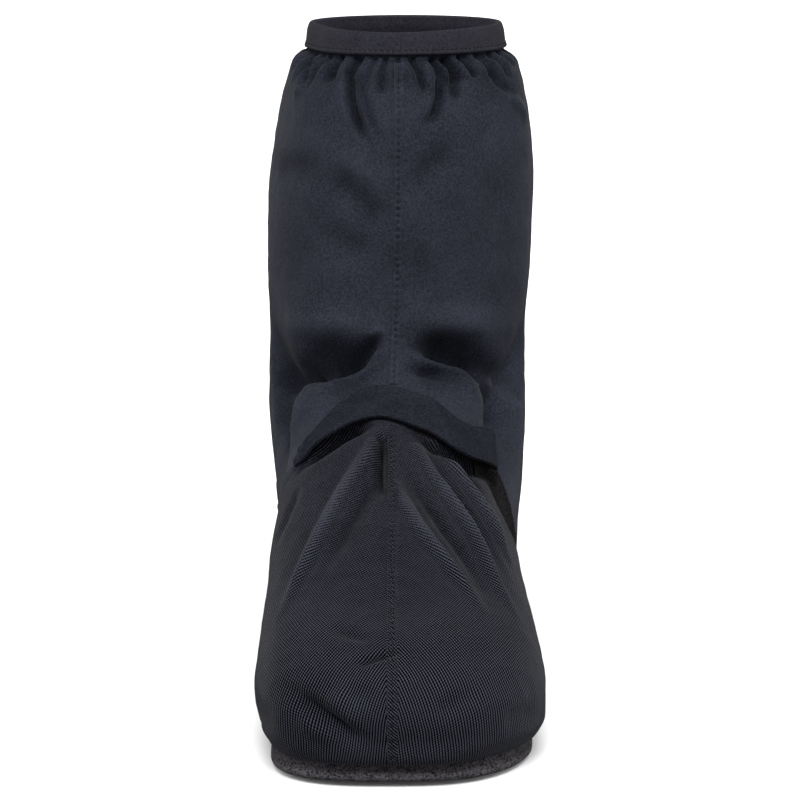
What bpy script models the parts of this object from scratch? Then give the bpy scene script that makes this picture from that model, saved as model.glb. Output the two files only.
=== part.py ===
"""Cycling overshoe for the left foot: a pull-on fabric shaft and foot, sewn along the front, closed by a flat sole.

Metres, +Z up. The toe points along -Y, the outer side of the foot is +X, and the shoe stands on z = 0.
Every piece is laid on one last, whose level sections are the rows of SECTIONS.
"""

import math
from collections import namedtuple

import bmesh
import bpy
from mathutils import Vector

# Driving dimensions
LENGTH = 0.299
BALL_WIDTH = 0.117
COLLAR_TOP = 0.279
UPPER_WALL = 0.0012
GAP = 0.0004
MERGE = 0.00002

# Sole
SOLE_RIM_TOP = 0.0090
SOLE_FLOOR_TOP = 0.0042
TOE_SPRING = 0.0022
TOE_SPRING_START = -0.085
TOE_SPRING_FADE_TOP = 0.045
ARCH_RISE = 0.0028
ARCH_FRONT = -0.032
ARCH_BACK = 0.062
ARCH_EASE = 0.030

# Seams, toe panel, strap, loop pad and collar
SEAM_WIDTH = 0.0055
SEAM_THICK = 0.0006
SEAM_SEARCH = 0.1
SEAM_END_CLEAR = 0.0015
SEAM_ABOVE_SOLE = 0.004
PANEL_THICK = 0.0007
PANEL_GAP = 0.0006
PANEL_BOTTOM = 0.0112
PANEL_TOP = 0.1225
ON_PANEL = PANEL_GAP + PANEL_THICK + GAP
STRAP_THICK = 0.0016
LOOP_PAD_THICK = 0.0010
PAD_GAP = 0.0008
LOOP_PAD_TOP = 0.105
LOOP_PAD_TOP_FRONT = -0.0155
LOOP_PAD_TOP_BACK = 0.0190
LOOP_PAD_BOTTOM = 0.066
LOOP_PAD_BOTTOM_FRONT = -0.0150
LOOP_PAD_BOTTOM_BACK = -0.0105
BAND_THICK = 0.0013
BAND_BOTTOM = 0.2675
UPPER_TOP = 0.2770

# Mesh fineness
ROUND_STEPS = 48
OVERLAY_STEPS = 20
FURTHEST_BACK = 0.95

# Level sections of the last. height is a share of COLLAR_TOP. front, back, nose_depth and heel_depth are shares of
# LENGTH, the first two counted from the toe tip. nose_inner, nose_outer and back_width are widths as shares of
# BALL_WIDTH, the nose's on each side of the front seam. seam_x and middle_x are shares of it too: how far the front
# seam and the section's middle lie from the shoe's middle line. Behind the nose the width reaches back_width within
# the share flare of the side. waist is the share of the width by which the sides draw in, and blunt is 2 for a nose
# that is half an ellipse.
Section = namedtuple(
    "Section",
    "height front back nose_depth heel_depth nose_inner nose_outer back_width flare waist blunt seam_x middle_x",
)
SECTIONS = [
    Section(0.034, 0.028, 0.972, 0.190, 0.150, 0.880, 0.910, 0.700, 0.70, 0.080, 2.90, -0.045, 0.003),
    Section(0.065, 0.008, 0.992, 0.192, 0.155, 0.960, 0.986, 0.770, 0.70, 0.085, 2.80, -0.045, 0.003),
    Section(0.109, 0.000, 1.000, 0.194, 0.160, 0.980, 0.985, 0.840, 0.70, 0.090, 2.60, -0.045, 0.003),
    Section(0.152, 0.010, 1.000, 0.194, 0.165, 0.955, 0.948, 0.895, 0.70, 0.085, 2.35, -0.045, 0.000),
    Section(0.196, 0.048, 1.000, 0.194, 0.170, 0.920, 0.888, 0.930, 0.65, 0.080, 2.10, -0.045, -0.004),
    Section(0.239, 0.125, 0.999, 0.194, 0.175, 0.890, 0.800, 0.955, 0.60, 0.080, 1.95, -0.045, -0.007),
    Section(0.290, 0.219, 0.998, 0.188, 0.180, 0.870, 0.700, 0.970, 0.55, 0.050, 1.88, -0.045, -0.010),
    Section(0.344, 0.319, 0.997, 0.182, 0.185, 0.850, 0.640, 0.980, 0.52, 0.025, 1.85, -0.045, -0.012),
    Section(0.399, 0.410, 0.996, 0.178, 0.190, 0.840, 0.660, 0.985, 0.52, 0.010, 1.88, -0.045, -0.014),
    Section(0.446, 0.483, 0.995, 0.178, 0.195, 0.865, 0.760, 0.985, 0.55, 0.000, 1.92, -0.043, -0.014),
    Section(0.486, 0.530, 0.995, 0.182, 0.198, 0.905, 0.860, 0.986, 0.60, 0.000, 1.96, -0.040, -0.013),
    Section(0.529, 0.559, 0.995, 0.190, 0.200, 0.955, 0.945, 0.990, 0.65, 0.000, 2.00, -0.036, -0.010),
    Section(0.598, 0.574, 0.994, 0.198, 0.202, 0.995, 0.995, 1.000, 0.70, 0.000, 2.00, -0.030, -0.005),
    Section(0.700, 0.577, 0.993, 0.200, 0.202, 1.010, 1.014, 1.014, 0.70, 0.000, 2.00, -0.026, 0.000),
    Section(0.804, 0.584, 0.989, 0.196, 0.198, 0.985, 0.990, 0.990, 0.70, 0.000, 2.00, -0.024, 0.008),
    Section(0.855, 0.593, 0.982, 0.190, 0.192, 0.950, 0.955, 0.955, 0.70, 0.000, 2.00, -0.024, 0.014),
    Section(0.902, 0.608, 0.967, 0.178, 0.180, 0.903, 0.906, 0.906, 0.70, 0.000, 2.00, -0.024, 0.018),
    Section(0.935, 0.626, 0.951, 0.176, 0.146, 0.858, 0.858, 0.858, 0.70, 0.000, 1.90, -0.024, 0.020),
    Section(0.958, 0.641, 0.936, 0.178, 0.115, 0.750, 0.750, 0.750, 0.70, 0.000, 1.75, -0.024, 0.021),
    Section(1.000, 0.651, 0.926, 0.176, 0.098, 0.724, 0.724, 0.724, 0.70, 0.000, 1.65, -0.024, 0.021),
]
NOSE_BLEND = 0.75

# Level rings of the upper's mesh: each band runs from its height to the next with so many equal steps.
RingBand = namedtuple("RingBand", "height steps")
RING_BANDS = [
    RingBand(SOLE_RIM_TOP + 0.0003, 5),
    RingBand(0.042, 4),
    RingBand(0.066, 7),
    RingBand(0.118, 8),
    RingBand(0.160, 4),
    RingBand(0.236, 4),
    RingBand(BAND_BOTTOM, 2),
    RingBand(UPPER_TOP, 0),
]

# Where the shaft folds over the instep the cloth sinks in: the middle of each hollow by its share of the section and
# its height, how far it reaches round as a share and up in metres, and its depth.
Hollow = namedtuple("Hollow", "share height round up depth")
HOLLOWS = [
    Hollow(-0.150, 0.1375, 0.120, 0.0095, 0.0065),
    Hollow(-0.380, 0.1180, 0.090, 0.0280, 0.0060),
    Hollow(0.170, 0.1385, 0.120, 0.0095, 0.0060),
    Hollow(0.330, 0.1220, 0.080, 0.0180, 0.0025),
]

# The middle line of the sole and shaft, seen from above: y and its sideways bow.
Bow = namedtuple("Bow", "y x")
MIDDLE_LINE = [Bow(-0.150, -0.002), Bow(-0.070, 0.0), Bow(0.020, 0.001), Bow(0.090, 0.0), Bow(0.150, 0.0)]

# Edge of the sole in section: how far outside the upper's hem, and how high. The first row is the edge of the tread.
SoleEdge = namedtuple("SoleEdge", "out height")
SOLE_EDGE = [
    SoleEdge(-0.0062, 0.0000),
    SoleEdge(-0.0026, 0.0003),
    SoleEdge(0.0002, 0.0012),
    SoleEdge(0.0010, 0.0026),
    SoleEdge(0.0004, 0.0041),
    SoleEdge(-0.0010, 0.0053),
    SoleEdge(-0.0014, 0.0076),
    SoleEdge(-0.0006, SOLE_RIM_TOP),
    SoleEdge(-0.0036, SOLE_RIM_TOP),
    SoleEdge(-0.0042, SOLE_FLOOR_TOP),
]

# The strap over the instep, from its inner to its outer end: the share of the section, the heights of its lower and
# upper edge, and how far it bridges the hollow below it.
StrapRow = namedtuple("StrapRow", "share lower upper lift")
STRAP = [
    StrapRow(-0.200, 0.1005, 0.1065, 0.0),
    StrapRow(-0.110, 0.1118, 0.1215, 0.0020),
    StrapRow(-0.060, 0.1172, 0.1300, 0.0010),
    StrapRow(-0.020, 0.1192, 0.1310, 0.0),
    StrapRow(0.080, 0.1140, 0.1272, 0.0015),
    StrapRow(0.180, 0.1010, 0.1155, 0.0040),
    StrapRow(0.260, 0.0965, 0.1090, 0.0020),
    StrapRow(0.330, 0.0940, 0.1045, 0.0),
]
STRAP_TOP = max(row.upper for row in STRAP)
STRAP_ARCH = max(row.lower for row in STRAP)

# Back edge of the toe panel, seen from the side: height and y.
PanelEdge = namedtuple("PanelEdge", "height y")
PANEL_BACK = [
    PanelEdge(0.009, 0.008),
    PanelEdge(0.045, -0.004),
    PanelEdge(0.064, -0.0165),
    PanelEdge(0.100, -0.0165),
    PanelEdge(0.110, -0.0140),
    PanelEdge(PANEL_TOP, -0.0030),
]

Finish = namedtuple("Finish", "colour roughness")
SHAFT_FABRIC = Finish((0.018, 0.020, 0.028), 0.75)
TOE_FABRIC = Finish((0.017, 0.019, 0.026), 0.65)
STRAP_FABRIC = Finish((0.017, 0.019, 0.026), 0.80)
LOOP_PILE = Finish((0.006, 0.006, 0.008), 0.95)
COLLAR_ELASTIC = Finish((0.024, 0.024, 0.030), 0.85)
SOLE_RUBBER = Finish((0.030, 0.029, 0.033), 0.90)


def ease(t):
    """0 to 1 with flat ends."""
    t = min(1.0, max(0.0, t))
    return t * t * (3 - 2 * t)


def mix(a, b, t):
    return a + (b - a) * t


def read_rows(rows, key, column, at):
    """A column of a table at some value of its key column, on a smooth curve that doesn't overshoot the rows."""
    keys = [getattr(row, key) for row in rows]
    values = [getattr(row, column) for row in rows]
    if at <= keys[0]:
        return values[0]
    if at >= keys[-1]:
        return values[-1]
    slopes = [(values[i + 1] - values[i]) / (keys[i + 1] - keys[i]) for i in range(len(rows) - 1)]
    tangents = [slopes[0]]
    for before, after in zip(slopes, slopes[1:]):
        turning = before * after <= 0
        tangents.append(0.0 if turning else 2 * before * after / (before + after))
    tangents.append(slopes[-1])
    i = max(k for k in range(len(rows) - 1) if keys[k] <= at)
    span = keys[i + 1] - keys[i]
    t = (at - keys[i]) / span
    start = values[i] * (1 + 2 * t) * (1 - t) ** 2 + tangents[i] * span * t * (1 - t) ** 2
    end = values[i + 1] * t * t * (3 - 2 * t) - tangents[i + 1] * span * t * t * (1 - t)
    return start + end


# The last

def section_at(height):
    """The section at a height in metres, with every size in metres."""
    share = height / COLLAR_TOP

    def column(name):
        return read_rows(SECTIONS, "height", name, share)

    return Section(
        height,
        (column("front") - 0.5) * LENGTH,
        (column("back") - 0.5) * LENGTH,
        column("nose_depth") * LENGTH,
        column("heel_depth") * LENGTH,
        column("nose_inner") * BALL_WIDTH / 2,
        column("nose_outer") * BALL_WIDTH / 2,
        column("back_width") * BALL_WIDTH / 2,
        column("flare"),
        column("waist"),
        column("blunt"),
        column("seam_x") * BALL_WIDTH,
        column("middle_x") * BALL_WIDTH,
    )


def toe_lift(y, height):
    """How far the toe spring lifts a point, fading out up the toe."""
    run = max(0.0, (TOE_SPRING_START - y) / (TOE_SPRING_START + LENGTH / 2))
    return TOE_SPRING * run * run * (1 - ease(height / TOE_SPRING_FADE_TOP))


def quarter_length(depth, width):
    """Near length of a quarter of an ellipse."""
    return math.pi / 2 * math.sqrt((depth * depth + width * width) / 2)


def section_middle(section, y):
    """x of a level section's middle: at the front seam on its nose, and on the shoe's middle line further back."""
    behind_nose = ease((y - section.front) / (NOSE_BLEND * section.nose_depth))
    middle_line = read_rows(MIDDLE_LINE, "y", "x", y) + section.middle_x
    return mix(section.seam_x, middle_line, behind_nose)


def lengths_round(section, share):
    """Near lengths of a section's nose, side and heel, on the side of the foot that share lies on."""
    nose_width = section.nose_outer if share > 0 else section.nose_inner
    nose = quarter_length(section.nose_depth, nose_width)
    heel = quarter_length(section.heel_depth, section.back_width)
    side = section.back - section.front - section.nose_depth - section.heel_depth
    return nose_width, nose, side, heel


def section_point(section, share):
    """Point of a level section. share 0 is the front seam, +1 the back by the outer side, -1 the back by the inner."""
    share = (share + 1) % 2 - 1
    nose_width, nose, side, heel = lengths_round(section, share)
    along = abs(share) * (nose + side + heel)
    if along < nose:
        angle = math.pi / 2 * along / nose
        y = section.front + section.nose_depth * (1 - math.cos(angle) ** (2 / section.blunt))
        half_width = nose_width * math.sin(angle) ** (2 / section.blunt)
    elif along < nose + side:
        t = (along - nose) / side
        y = section.front + section.nose_depth + t * side
        drawn_in = 1 - section.waist * math.sin(math.pi * t) ** 2
        half_width = mix(nose_width, section.back_width, ease(t / section.flare)) * drawn_in
    else:
        angle = math.pi / 2 * (nose + side + heel - along) / heel
        y = section.back - section.heel_depth * (1 - math.cos(angle))
        half_width = section.back_width * math.sin(angle)
    x = section_middle(section, y) + math.copysign(half_width, share)
    return Vector((x, y, section.height + toe_lift(y, section.height)))


def sunk(height, share):
    """How far the cloth sinks in at the hollows."""
    total = 0.0
    for hollow in HOLLOWS:
        sideways = (share - hollow.share) / hollow.round
        upwards = (height - hollow.height) / hollow.up
        total += hollow.depth * math.exp(-sideways * sideways - upwards * upwards)
    return total


def on_last(height, share, out=0.0):
    """Point of the cloth on the last, moved outwards by a distance along the last's normal."""
    step_round, step_up = 0.004, 0.001
    low = max(height - step_up, SOLE_RIM_TOP)
    high = min(height + step_up, COLLAR_TOP)
    level = section_at(height)
    sideways = section_point(level, share + step_round) - section_point(level, share - step_round)
    upwards = section_point(section_at(high), share) - section_point(section_at(low), share)
    normal = sideways.cross(upwards).normalized()
    return section_point(level, share) + normal * (out - sunk(height, share))


def share_where(height, wanted, axis, low, high):
    """The share of a section, between low and high, where its x or y reaches a wanted value."""
    section = section_at(height)
    rising = section_point(section, high)[axis] > section_point(section, low)[axis]
    for _ in range(40):
        middle = (low + high) / 2
        if (section_point(section, middle)[axis] < wanted) == rising:
            low = middle
        else:
            high = middle
    return (low + high) / 2


# Meshes

def fabric(name, finish):
    material = bpy.data.materials.new(name)
    material.use_nodes = True
    shader = material.node_tree.nodes["Principled BSDF"]
    shader.inputs["Base Color"].default_value = (*finish.colour, 1.0)
    shader.inputs["Roughness"].default_value = finish.roughness
    shader.inputs["Metallic"].default_value = 0.0
    return material


def wrapped_grid(name, columns, rows, place, material):
    """A grid of so many columns and rows of faces, each corner put where place(u, v) says, u and v from 0 to 1."""
    sheet = bmesh.new()
    bmesh.ops.create_grid(sheet, x_segments=columns, y_segments=rows, size=0.5)
    for corner in sheet.verts:
        u = round((corner.co.x + 0.5) * columns) / columns
        v = round((corner.co.y + 0.5) * rows) / rows
        corner.co = place(u, v)
    bmesh.ops.remove_doubles(sheet, verts=sheet.verts, dist=MERGE)
    mesh = bpy.data.meshes.new(name)
    sheet.to_mesh(mesh)
    sheet.free()
    mesh.shade_smooth()
    piece = bpy.data.objects.new(name, mesh)
    piece.data.materials.append(material)
    overshoe.objects.link(piece)
    return piece


def thicken(piece, thickness, outwards):
    shell = piece.modifiers.new("wall", "SOLIDIFY")
    shell.thickness = thickness
    shell.offset = 1.0 if outwards else -1.0
    shell.use_even_offset = True


def ring_heights():
    heights = []
    for band, following in zip(RING_BANDS, RING_BANDS[1:]):
        for k in range(band.steps):
            heights.append(mix(band.height, following.height, k / band.steps))
    heights.append(RING_BANDS[-1].height)
    return heights


def around(u):
    """Share of a section for a column that runs once round, from the back by the inner side to the back again."""
    return 2 * u - 1


# Pieces

def make_upper():
    """Shaft and foot in one wall, open at the collar and underneath."""
    heights = ring_heights()

    def place(u, v):
        return on_last(heights[round(v * (len(heights) - 1))], around(u))

    upper = wrapped_grid("upper", ROUND_STEPS, len(heights) - 1, place, fabric("shaft_fabric", SHAFT_FABRIC))
    thicken(upper, UPPER_WALL, outwards=False)


def arch_lift(y):
    """Rise of the tread between forefoot and heel."""
    return ARCH_RISE * ease((y - ARCH_FRONT) / ARCH_EASE) * ease((ARCH_BACK - y) / ARCH_EASE)


def make_sole():
    """Flat sole with a rounded rim for the upper's hem to stand on, and a floor that is lower inside the rim."""
    hem = section_at(SOLE_RIM_TOP)
    last_row = len(SOLE_EDGE) + 1

    def edge_point(share, out):
        step = 0.003
        along = section_point(hem, share + step) - section_point(hem, share - step)
        outwards = Vector((along.y, -along.x, 0)).normalized()
        return section_point(hem, share) + outwards * out

    def place(u, v):
        row = round(v * last_row)
        edge = SOLE_EDGE[min(max(row - 1, 0), len(SOLE_EDGE) - 1)]
        point = edge_point(around(u), edge.out)
        if row in (0, last_row):
            point = (point + edge_point(-around(u), edge.out)) / 2
        under = ease(1 - edge.height / SOLE_FLOOR_TOP) if row < last_row - 1 else 0.0
        point.z = edge.height + toe_lift(point.y, SOLE_RIM_TOP) + arch_lift(point.y) * under
        return point

    wrapped_grid("sole", ROUND_STEPS, last_row, place, fabric("sole_rubber", SOLE_RUBBER))


def make_collar_band():
    """Elastic tape folded over the top edge of the shaft: an upside-down U in section."""
    outside = GAP + BAND_THICK
    inside = -(UPPER_WALL + GAP + BAND_THICK)
    middle = (BAND_BOTTOM + UPPER_TOP) / 2
    slot_top = UPPER_TOP + GAP
    slot_inside = -(UPPER_WALL + GAP)
    profile = [
        (GAP, BAND_BOTTOM),
        (outside, BAND_BOTTOM),
        (outside, middle),
        (outside, UPPER_TOP),
        (mix(outside, inside, 0.25), COLLAR_TOP),
        (mix(outside, inside, 0.75), COLLAR_TOP),
        (inside, UPPER_TOP),
        (inside, middle),
        (inside, BAND_BOTTOM),
        (slot_inside, BAND_BOTTOM),
        (slot_inside, middle),
        (slot_inside, slot_top),
        (GAP, slot_top),
        (GAP, middle),
    ]

    def place(u, v):
        out, height = profile[round(v * len(profile)) % len(profile)]
        return on_last(height, around(u), out)

    wrapped_grid("collar_band", ROUND_STEPS, len(profile), place, fabric("collar_elastic", COLLAR_ELASTIC))


def make_toe_panel():
    """Coarse panel over the toe, from the hem up to the strap, sewn flat on the upper, facet over facet."""
    heights = [PANEL_BOTTOM] + [height for height in ring_heights() if PANEL_BOTTOM < height < PANEL_TOP] + [PANEL_TOP]
    reaches = [share_where(h, read_rows(PANEL_BACK, "height", "y", h), 1, 0.0, FURTHEST_BACK) for h in heights]
    half_steps = math.ceil(max(reaches) * ROUND_STEPS / 2)

    def place(u, v):
        row = round(v * (len(heights) - 1))
        share = (2 * u - 1) * half_steps / (ROUND_STEPS / 2)
        return on_last(heights[row], min(max(share, -reaches[row]), reaches[row]), PANEL_GAP)

    panel = wrapped_grid("toe_panel", 2 * half_steps, len(heights) - 1, place, fabric("toe_fabric", TOE_FABRIC))
    thicken(panel, PANEL_THICK, outwards=True)


def make_instep_strap():
    """Strap over the instep, sewn on at its inner end and pressed on the loop pad at its outer end."""
    across_steps = 4
    clear_of_panel = ON_PANEL + SEAM_THICK + GAP
    clear_of_pad = PAD_GAP + LOOP_PAD_THICK + GAP

    def place(u, v):
        share = mix(STRAP[0].share, STRAP[-1].share, u)
        lower, upper, lift = (read_rows(STRAP, "share", column, share) for column in ("lower", "upper", "lift"))
        clear = mix(clear_of_panel, clear_of_pad, ease(share / STRAP[-1].share))
        return on_last(mix(lower, upper, v), share, clear + lift)

    strap = wrapped_grid("instep_strap", OVERLAY_STEPS, across_steps, place, fabric("strap_fabric", STRAP_FABRIC))
    thicken(strap, STRAP_THICK, outwards=True)


def make_loop_pad():
    """Loop half of the strap's fastener, on the outer side, narrowing down from under the strap's end."""
    across_steps, down_steps = 4, 8

    def place(u, v):
        height = mix(LOOP_PAD_BOTTOM, LOOP_PAD_TOP, v)
        front = mix(LOOP_PAD_BOTTOM_FRONT, LOOP_PAD_TOP_FRONT, v)
        y = mix(front, mix(LOOP_PAD_BOTTOM_BACK, LOOP_PAD_TOP_BACK, v), u)
        return on_last(height, share_where(height, y, 1, 0.0, FURTHEST_BACK), PAD_GAP)

    pad = wrapped_grid("strap_loop_pad", across_steps, down_steps, place, fabric("loop_pile", LOOP_PILE))
    thicken(pad, LOOP_PAD_THICK, outwards=True)


def make_seam(name, low, high, at_back, out, material):
    """Topstitched seam: a raised strip to one side of the line where the two halves are sewn together."""
    heights = [low] + [height for height in ring_heights() if low < height < high] + [high]
    seam_share = 1.0 if at_back else 0.0

    def place(u, v):
        height = heights[round(v * (len(heights) - 1))]
        seam_x = section_point(section_at(height), seam_share).x
        across = u * SEAM_WIDTH * (-1 if at_back else 1)
        share = share_where(height, seam_x + across, 0, seam_share - SEAM_SEARCH, seam_share + SEAM_SEARCH)
        return on_last(height, share, out)

    seam = wrapped_grid(name, 2, len(heights) - 1, place, material)
    thicken(seam, SEAM_THICK, outwards=True)


def make_seams():
    shaft = fabric("shaft_seam_fabric", SHAFT_FABRIC)
    toe = fabric("toe_seam_fabric", TOE_FABRIC)
    shaft_top = BAND_BOTTOM - SEAM_END_CLEAR
    make_seam("shaft_front_seam", STRAP_TOP + SEAM_END_CLEAR, shaft_top, False, GAP, shaft)
    make_seam("shaft_back_seam", SOLE_RIM_TOP + SEAM_ABOVE_SOLE, shaft_top, True, GAP, shaft)
    make_seam("toe_seam", PANEL_BOTTOM + SEAM_END_CLEAR, STRAP_ARCH - SEAM_END_CLEAR, False, ON_PANEL, toe)


for leftover in list(bpy.data.objects):
    bpy.data.objects.remove(leftover)
overshoe = bpy.data.collections.new("cycling_overshoe")
bpy.context.scene.collection.children.link(overshoe)
make_sole()
make_upper()
make_toe_panel()
make_loop_pad()
make_instep_strap()
make_seams()
make_collar_band()
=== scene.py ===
"""Looks of a cycling overshoe for the left foot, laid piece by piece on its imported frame.

Metres, +Z up. The toe points along -Y and the outer side of the foot is +X. Every cloth piece is laid on one
last. A place on the last is a share and a height. The share runs from 0 at the front seam to 1 at the back by
the outer side of the foot, and to -1 at the back by the inner side.
"""

from collections import namedtuple

import bmesh
import bpy
import numpy as np
from mathutils import Matrix, Vector, noise


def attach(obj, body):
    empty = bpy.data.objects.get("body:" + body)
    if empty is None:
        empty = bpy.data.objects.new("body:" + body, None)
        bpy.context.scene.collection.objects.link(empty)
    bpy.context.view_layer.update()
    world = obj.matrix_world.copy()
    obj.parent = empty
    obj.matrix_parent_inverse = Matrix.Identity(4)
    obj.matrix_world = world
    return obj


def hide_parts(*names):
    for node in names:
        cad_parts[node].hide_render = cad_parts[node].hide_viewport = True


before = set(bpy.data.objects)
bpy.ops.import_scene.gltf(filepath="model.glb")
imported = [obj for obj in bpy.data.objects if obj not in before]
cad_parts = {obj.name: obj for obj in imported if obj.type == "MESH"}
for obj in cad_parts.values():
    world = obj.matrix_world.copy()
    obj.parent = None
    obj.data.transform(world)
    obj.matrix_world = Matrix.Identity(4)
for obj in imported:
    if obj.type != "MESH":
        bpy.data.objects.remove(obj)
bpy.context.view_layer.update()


# Sole
# A flat rubber sole with a felted face, cut to the outline of the last, with a waist at the arch and a little
# toe spring. Its rounded rim is moulded in one with it, and the hem of the upper is glued on top of the rim.
LENGTH = 0.299
BALL_WIDTH = 0.117
COLLAR_TOP = 0.279
SOLE_RIM_TOP = 0.0090
SOLE_FLOOR_TOP = 0.0042
TOE_SPRING = 0.0022
TOE_SPRING_START = -0.085
TOE_SPRING_FADE_TOP = 0.045
ARCH_RISE = 0.0028
ARCH_FRONT = -0.032
ARCH_BACK = 0.062
ARCH_EASE = 0.030
NOSE_BLEND = 0.75
MERGE = 0.00002

# Level sections of the last, as shares of COLLAR_TOP, LENGTH and BALL_WIDTH. Behind the nose the width
# reaches back_width within the share flare of the side, waist draws the sides in, and blunt is 2 for an
# elliptic nose.
Section = namedtuple(
    "Section",
    "height front back nose_depth heel_depth nose_inner nose_outer "
    "back_width flare waist blunt seam_x middle_x",
)
SECTIONS = [
    Section(0.034, 0.028, 0.972, 0.190, 0.150, 0.880, 0.910, 0.700, 0.70, 0.080, 2.90, -0.045, 0.003),
    Section(0.065, 0.008, 0.992, 0.192, 0.155, 0.960, 0.986, 0.770, 0.70, 0.085, 2.80, -0.045, 0.003),
    Section(0.109, 0.000, 1.000, 0.194, 0.160, 0.980, 0.985, 0.840, 0.70, 0.090, 2.60, -0.045, 0.003),
    Section(0.152, 0.010, 1.000, 0.194, 0.165, 0.955, 0.948, 0.895, 0.70, 0.085, 2.35, -0.045, 0.000),
    Section(0.196, 0.048, 1.000, 0.194, 0.170, 0.920, 0.888, 0.930, 0.65, 0.080, 2.10, -0.045, -0.004),
    Section(0.239, 0.125, 0.999, 0.194, 0.175, 0.890, 0.800, 0.955, 0.60, 0.080, 1.95, -0.045, -0.007),
    Section(0.290, 0.219, 0.998, 0.188, 0.180, 0.870, 0.700, 0.970, 0.55, 0.050, 1.88, -0.045, -0.010),
    Section(0.344, 0.319, 0.997, 0.182, 0.185, 0.850, 0.640, 0.980, 0.52, 0.025, 1.85, -0.045, -0.012),
    Section(0.399, 0.410, 0.996, 0.178, 0.190, 0.840, 0.660, 0.985, 0.52, 0.010, 1.88, -0.045, -0.014),
    Section(0.446, 0.483, 0.995, 0.178, 0.195, 0.865, 0.760, 0.985, 0.55, 0.000, 1.92, -0.043, -0.014),
    Section(0.486, 0.530, 0.995, 0.182, 0.198, 0.905, 0.860, 0.986, 0.60, 0.000, 1.96, -0.040, -0.013),
    Section(0.529, 0.559, 0.995, 0.190, 0.200, 0.955, 0.945, 0.990, 0.65, 0.000, 2.00, -0.036, -0.010),
    Section(0.598, 0.574, 0.994, 0.198, 0.202, 0.995, 0.995, 1.000, 0.70, 0.000, 2.00, -0.030, -0.005),
    Section(0.700, 0.577, 0.993, 0.200, 0.202, 1.010, 1.014, 1.014, 0.70, 0.000, 2.00, -0.026, 0.000),
    Section(0.804, 0.584, 0.989, 0.196, 0.198, 0.985, 0.990, 0.990, 0.70, 0.000, 2.00, -0.024, 0.008),
    Section(0.855, 0.593, 0.982, 0.190, 0.192, 0.950, 0.955, 0.955, 0.70, 0.000, 2.00, -0.024, 0.014),
    Section(0.902, 0.608, 0.967, 0.178, 0.180, 0.903, 0.906, 0.906, 0.70, 0.000, 2.00, -0.024, 0.018),
    Section(0.935, 0.626, 0.951, 0.176, 0.146, 0.858, 0.858, 0.858, 0.70, 0.000, 1.90, -0.024, 0.020),
    Section(0.958, 0.641, 0.936, 0.178, 0.115, 0.750, 0.750, 0.750, 0.70, 0.000, 1.75, -0.024, 0.021),
    Section(1.000, 0.651, 0.926, 0.176, 0.098, 0.724, 0.724, 0.724, 0.70, 0.000, 1.65, -0.024, 0.021),
]
Bow = namedtuple("Bow", "y x")
MIDDLE_LINE = [Bow(-0.150, -0.002), Bow(-0.070, 0.0), Bow(0.020, 0.001), Bow(0.090, 0.0), Bow(0.150, 0.0)]

# Edge of the sole in section: how far outside the upper's hem, and how high, from the edge of the tread on.
SoleEdge = namedtuple("SoleEdge", "out height")
SOLE_EDGE = [
    SoleEdge(-0.0062, 0.0000),
    SoleEdge(-0.0026, 0.0003),
    SoleEdge(0.0002, 0.0012),
    SoleEdge(0.0010, 0.0026),
    SoleEdge(0.0004, 0.0041),
    SoleEdge(-0.0010, 0.0053),
    SoleEdge(-0.0014, 0.0076),
    SoleEdge(-0.0006, SOLE_RIM_TOP),
    SoleEdge(-0.0036, SOLE_RIM_TOP),
    SoleEdge(-0.0042, SOLE_FLOOR_TOP),
]
SOLE_COLUMNS = 300
SOLE_EDGE_ROWS = 34
FELT_BLOTCH = 0.0040
FELT_FUZZ = 0.0009
FELT_DARK = (0.003, 0.003, 0.004, 1.0)
FELT_LIGHT = (0.060, 0.055, 0.062, 1.0)


def ease(t):
    t = np.clip(t, 0.0, 1.0)
    return t * t * (3 - 2 * t)


def mix(a, b, t):
    return a + (b - a) * t


def smooth_column(keys, values, at):
    """Values between the rows of a column, on a smooth curve that doesn't overshoot them."""
    keys = np.array(keys, float)
    values = np.array(values, float)
    slopes = np.diff(values) / np.diff(keys)
    before = slopes[:-1]
    after = slopes[1:]
    turning = before * after <= 0
    inner = np.where(turning, 0.0, 2 * before * after / np.where(turning, 1.0, before + after))
    tangents = np.concatenate([slopes[:1], inner, slopes[-1:]])
    at = np.clip(at, keys[0], keys[-1])
    i = np.clip(np.searchsorted(keys, at, side="right") - 1, 0, len(keys) - 2)
    span = keys[i + 1] - keys[i]
    t = (at - keys[i]) / span
    start = values[i] * (1 + 2 * t) * (1 - t) ** 2 + tangents[i] * span * t * (1 - t) ** 2
    end = values[i + 1] * t * t * (3 - 2 * t) - tangents[i + 1] * span * t * t * (1 - t)
    return start + end


def read_rows(rows, key, column, at):
    return smooth_column([getattr(row, key) for row in rows], [getattr(row, column) for row in rows], at)


def along_rows(rows, at):
    """Each column of a short table, at places counted in rows from its first one."""
    return [smooth_column(range(len(rows)), column, at) for column in zip(*rows)]


def unit(vectors):
    return vectors / np.linalg.norm(vectors, axis=-1)[..., None]


def toe_lift(y, height):
    run = np.maximum(0.0, (TOE_SPRING_START - y) / (TOE_SPRING_START + LENGTH / 2))
    return TOE_SPRING * run * run * (1 - ease(height / TOE_SPRING_FADE_TOP))


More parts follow.
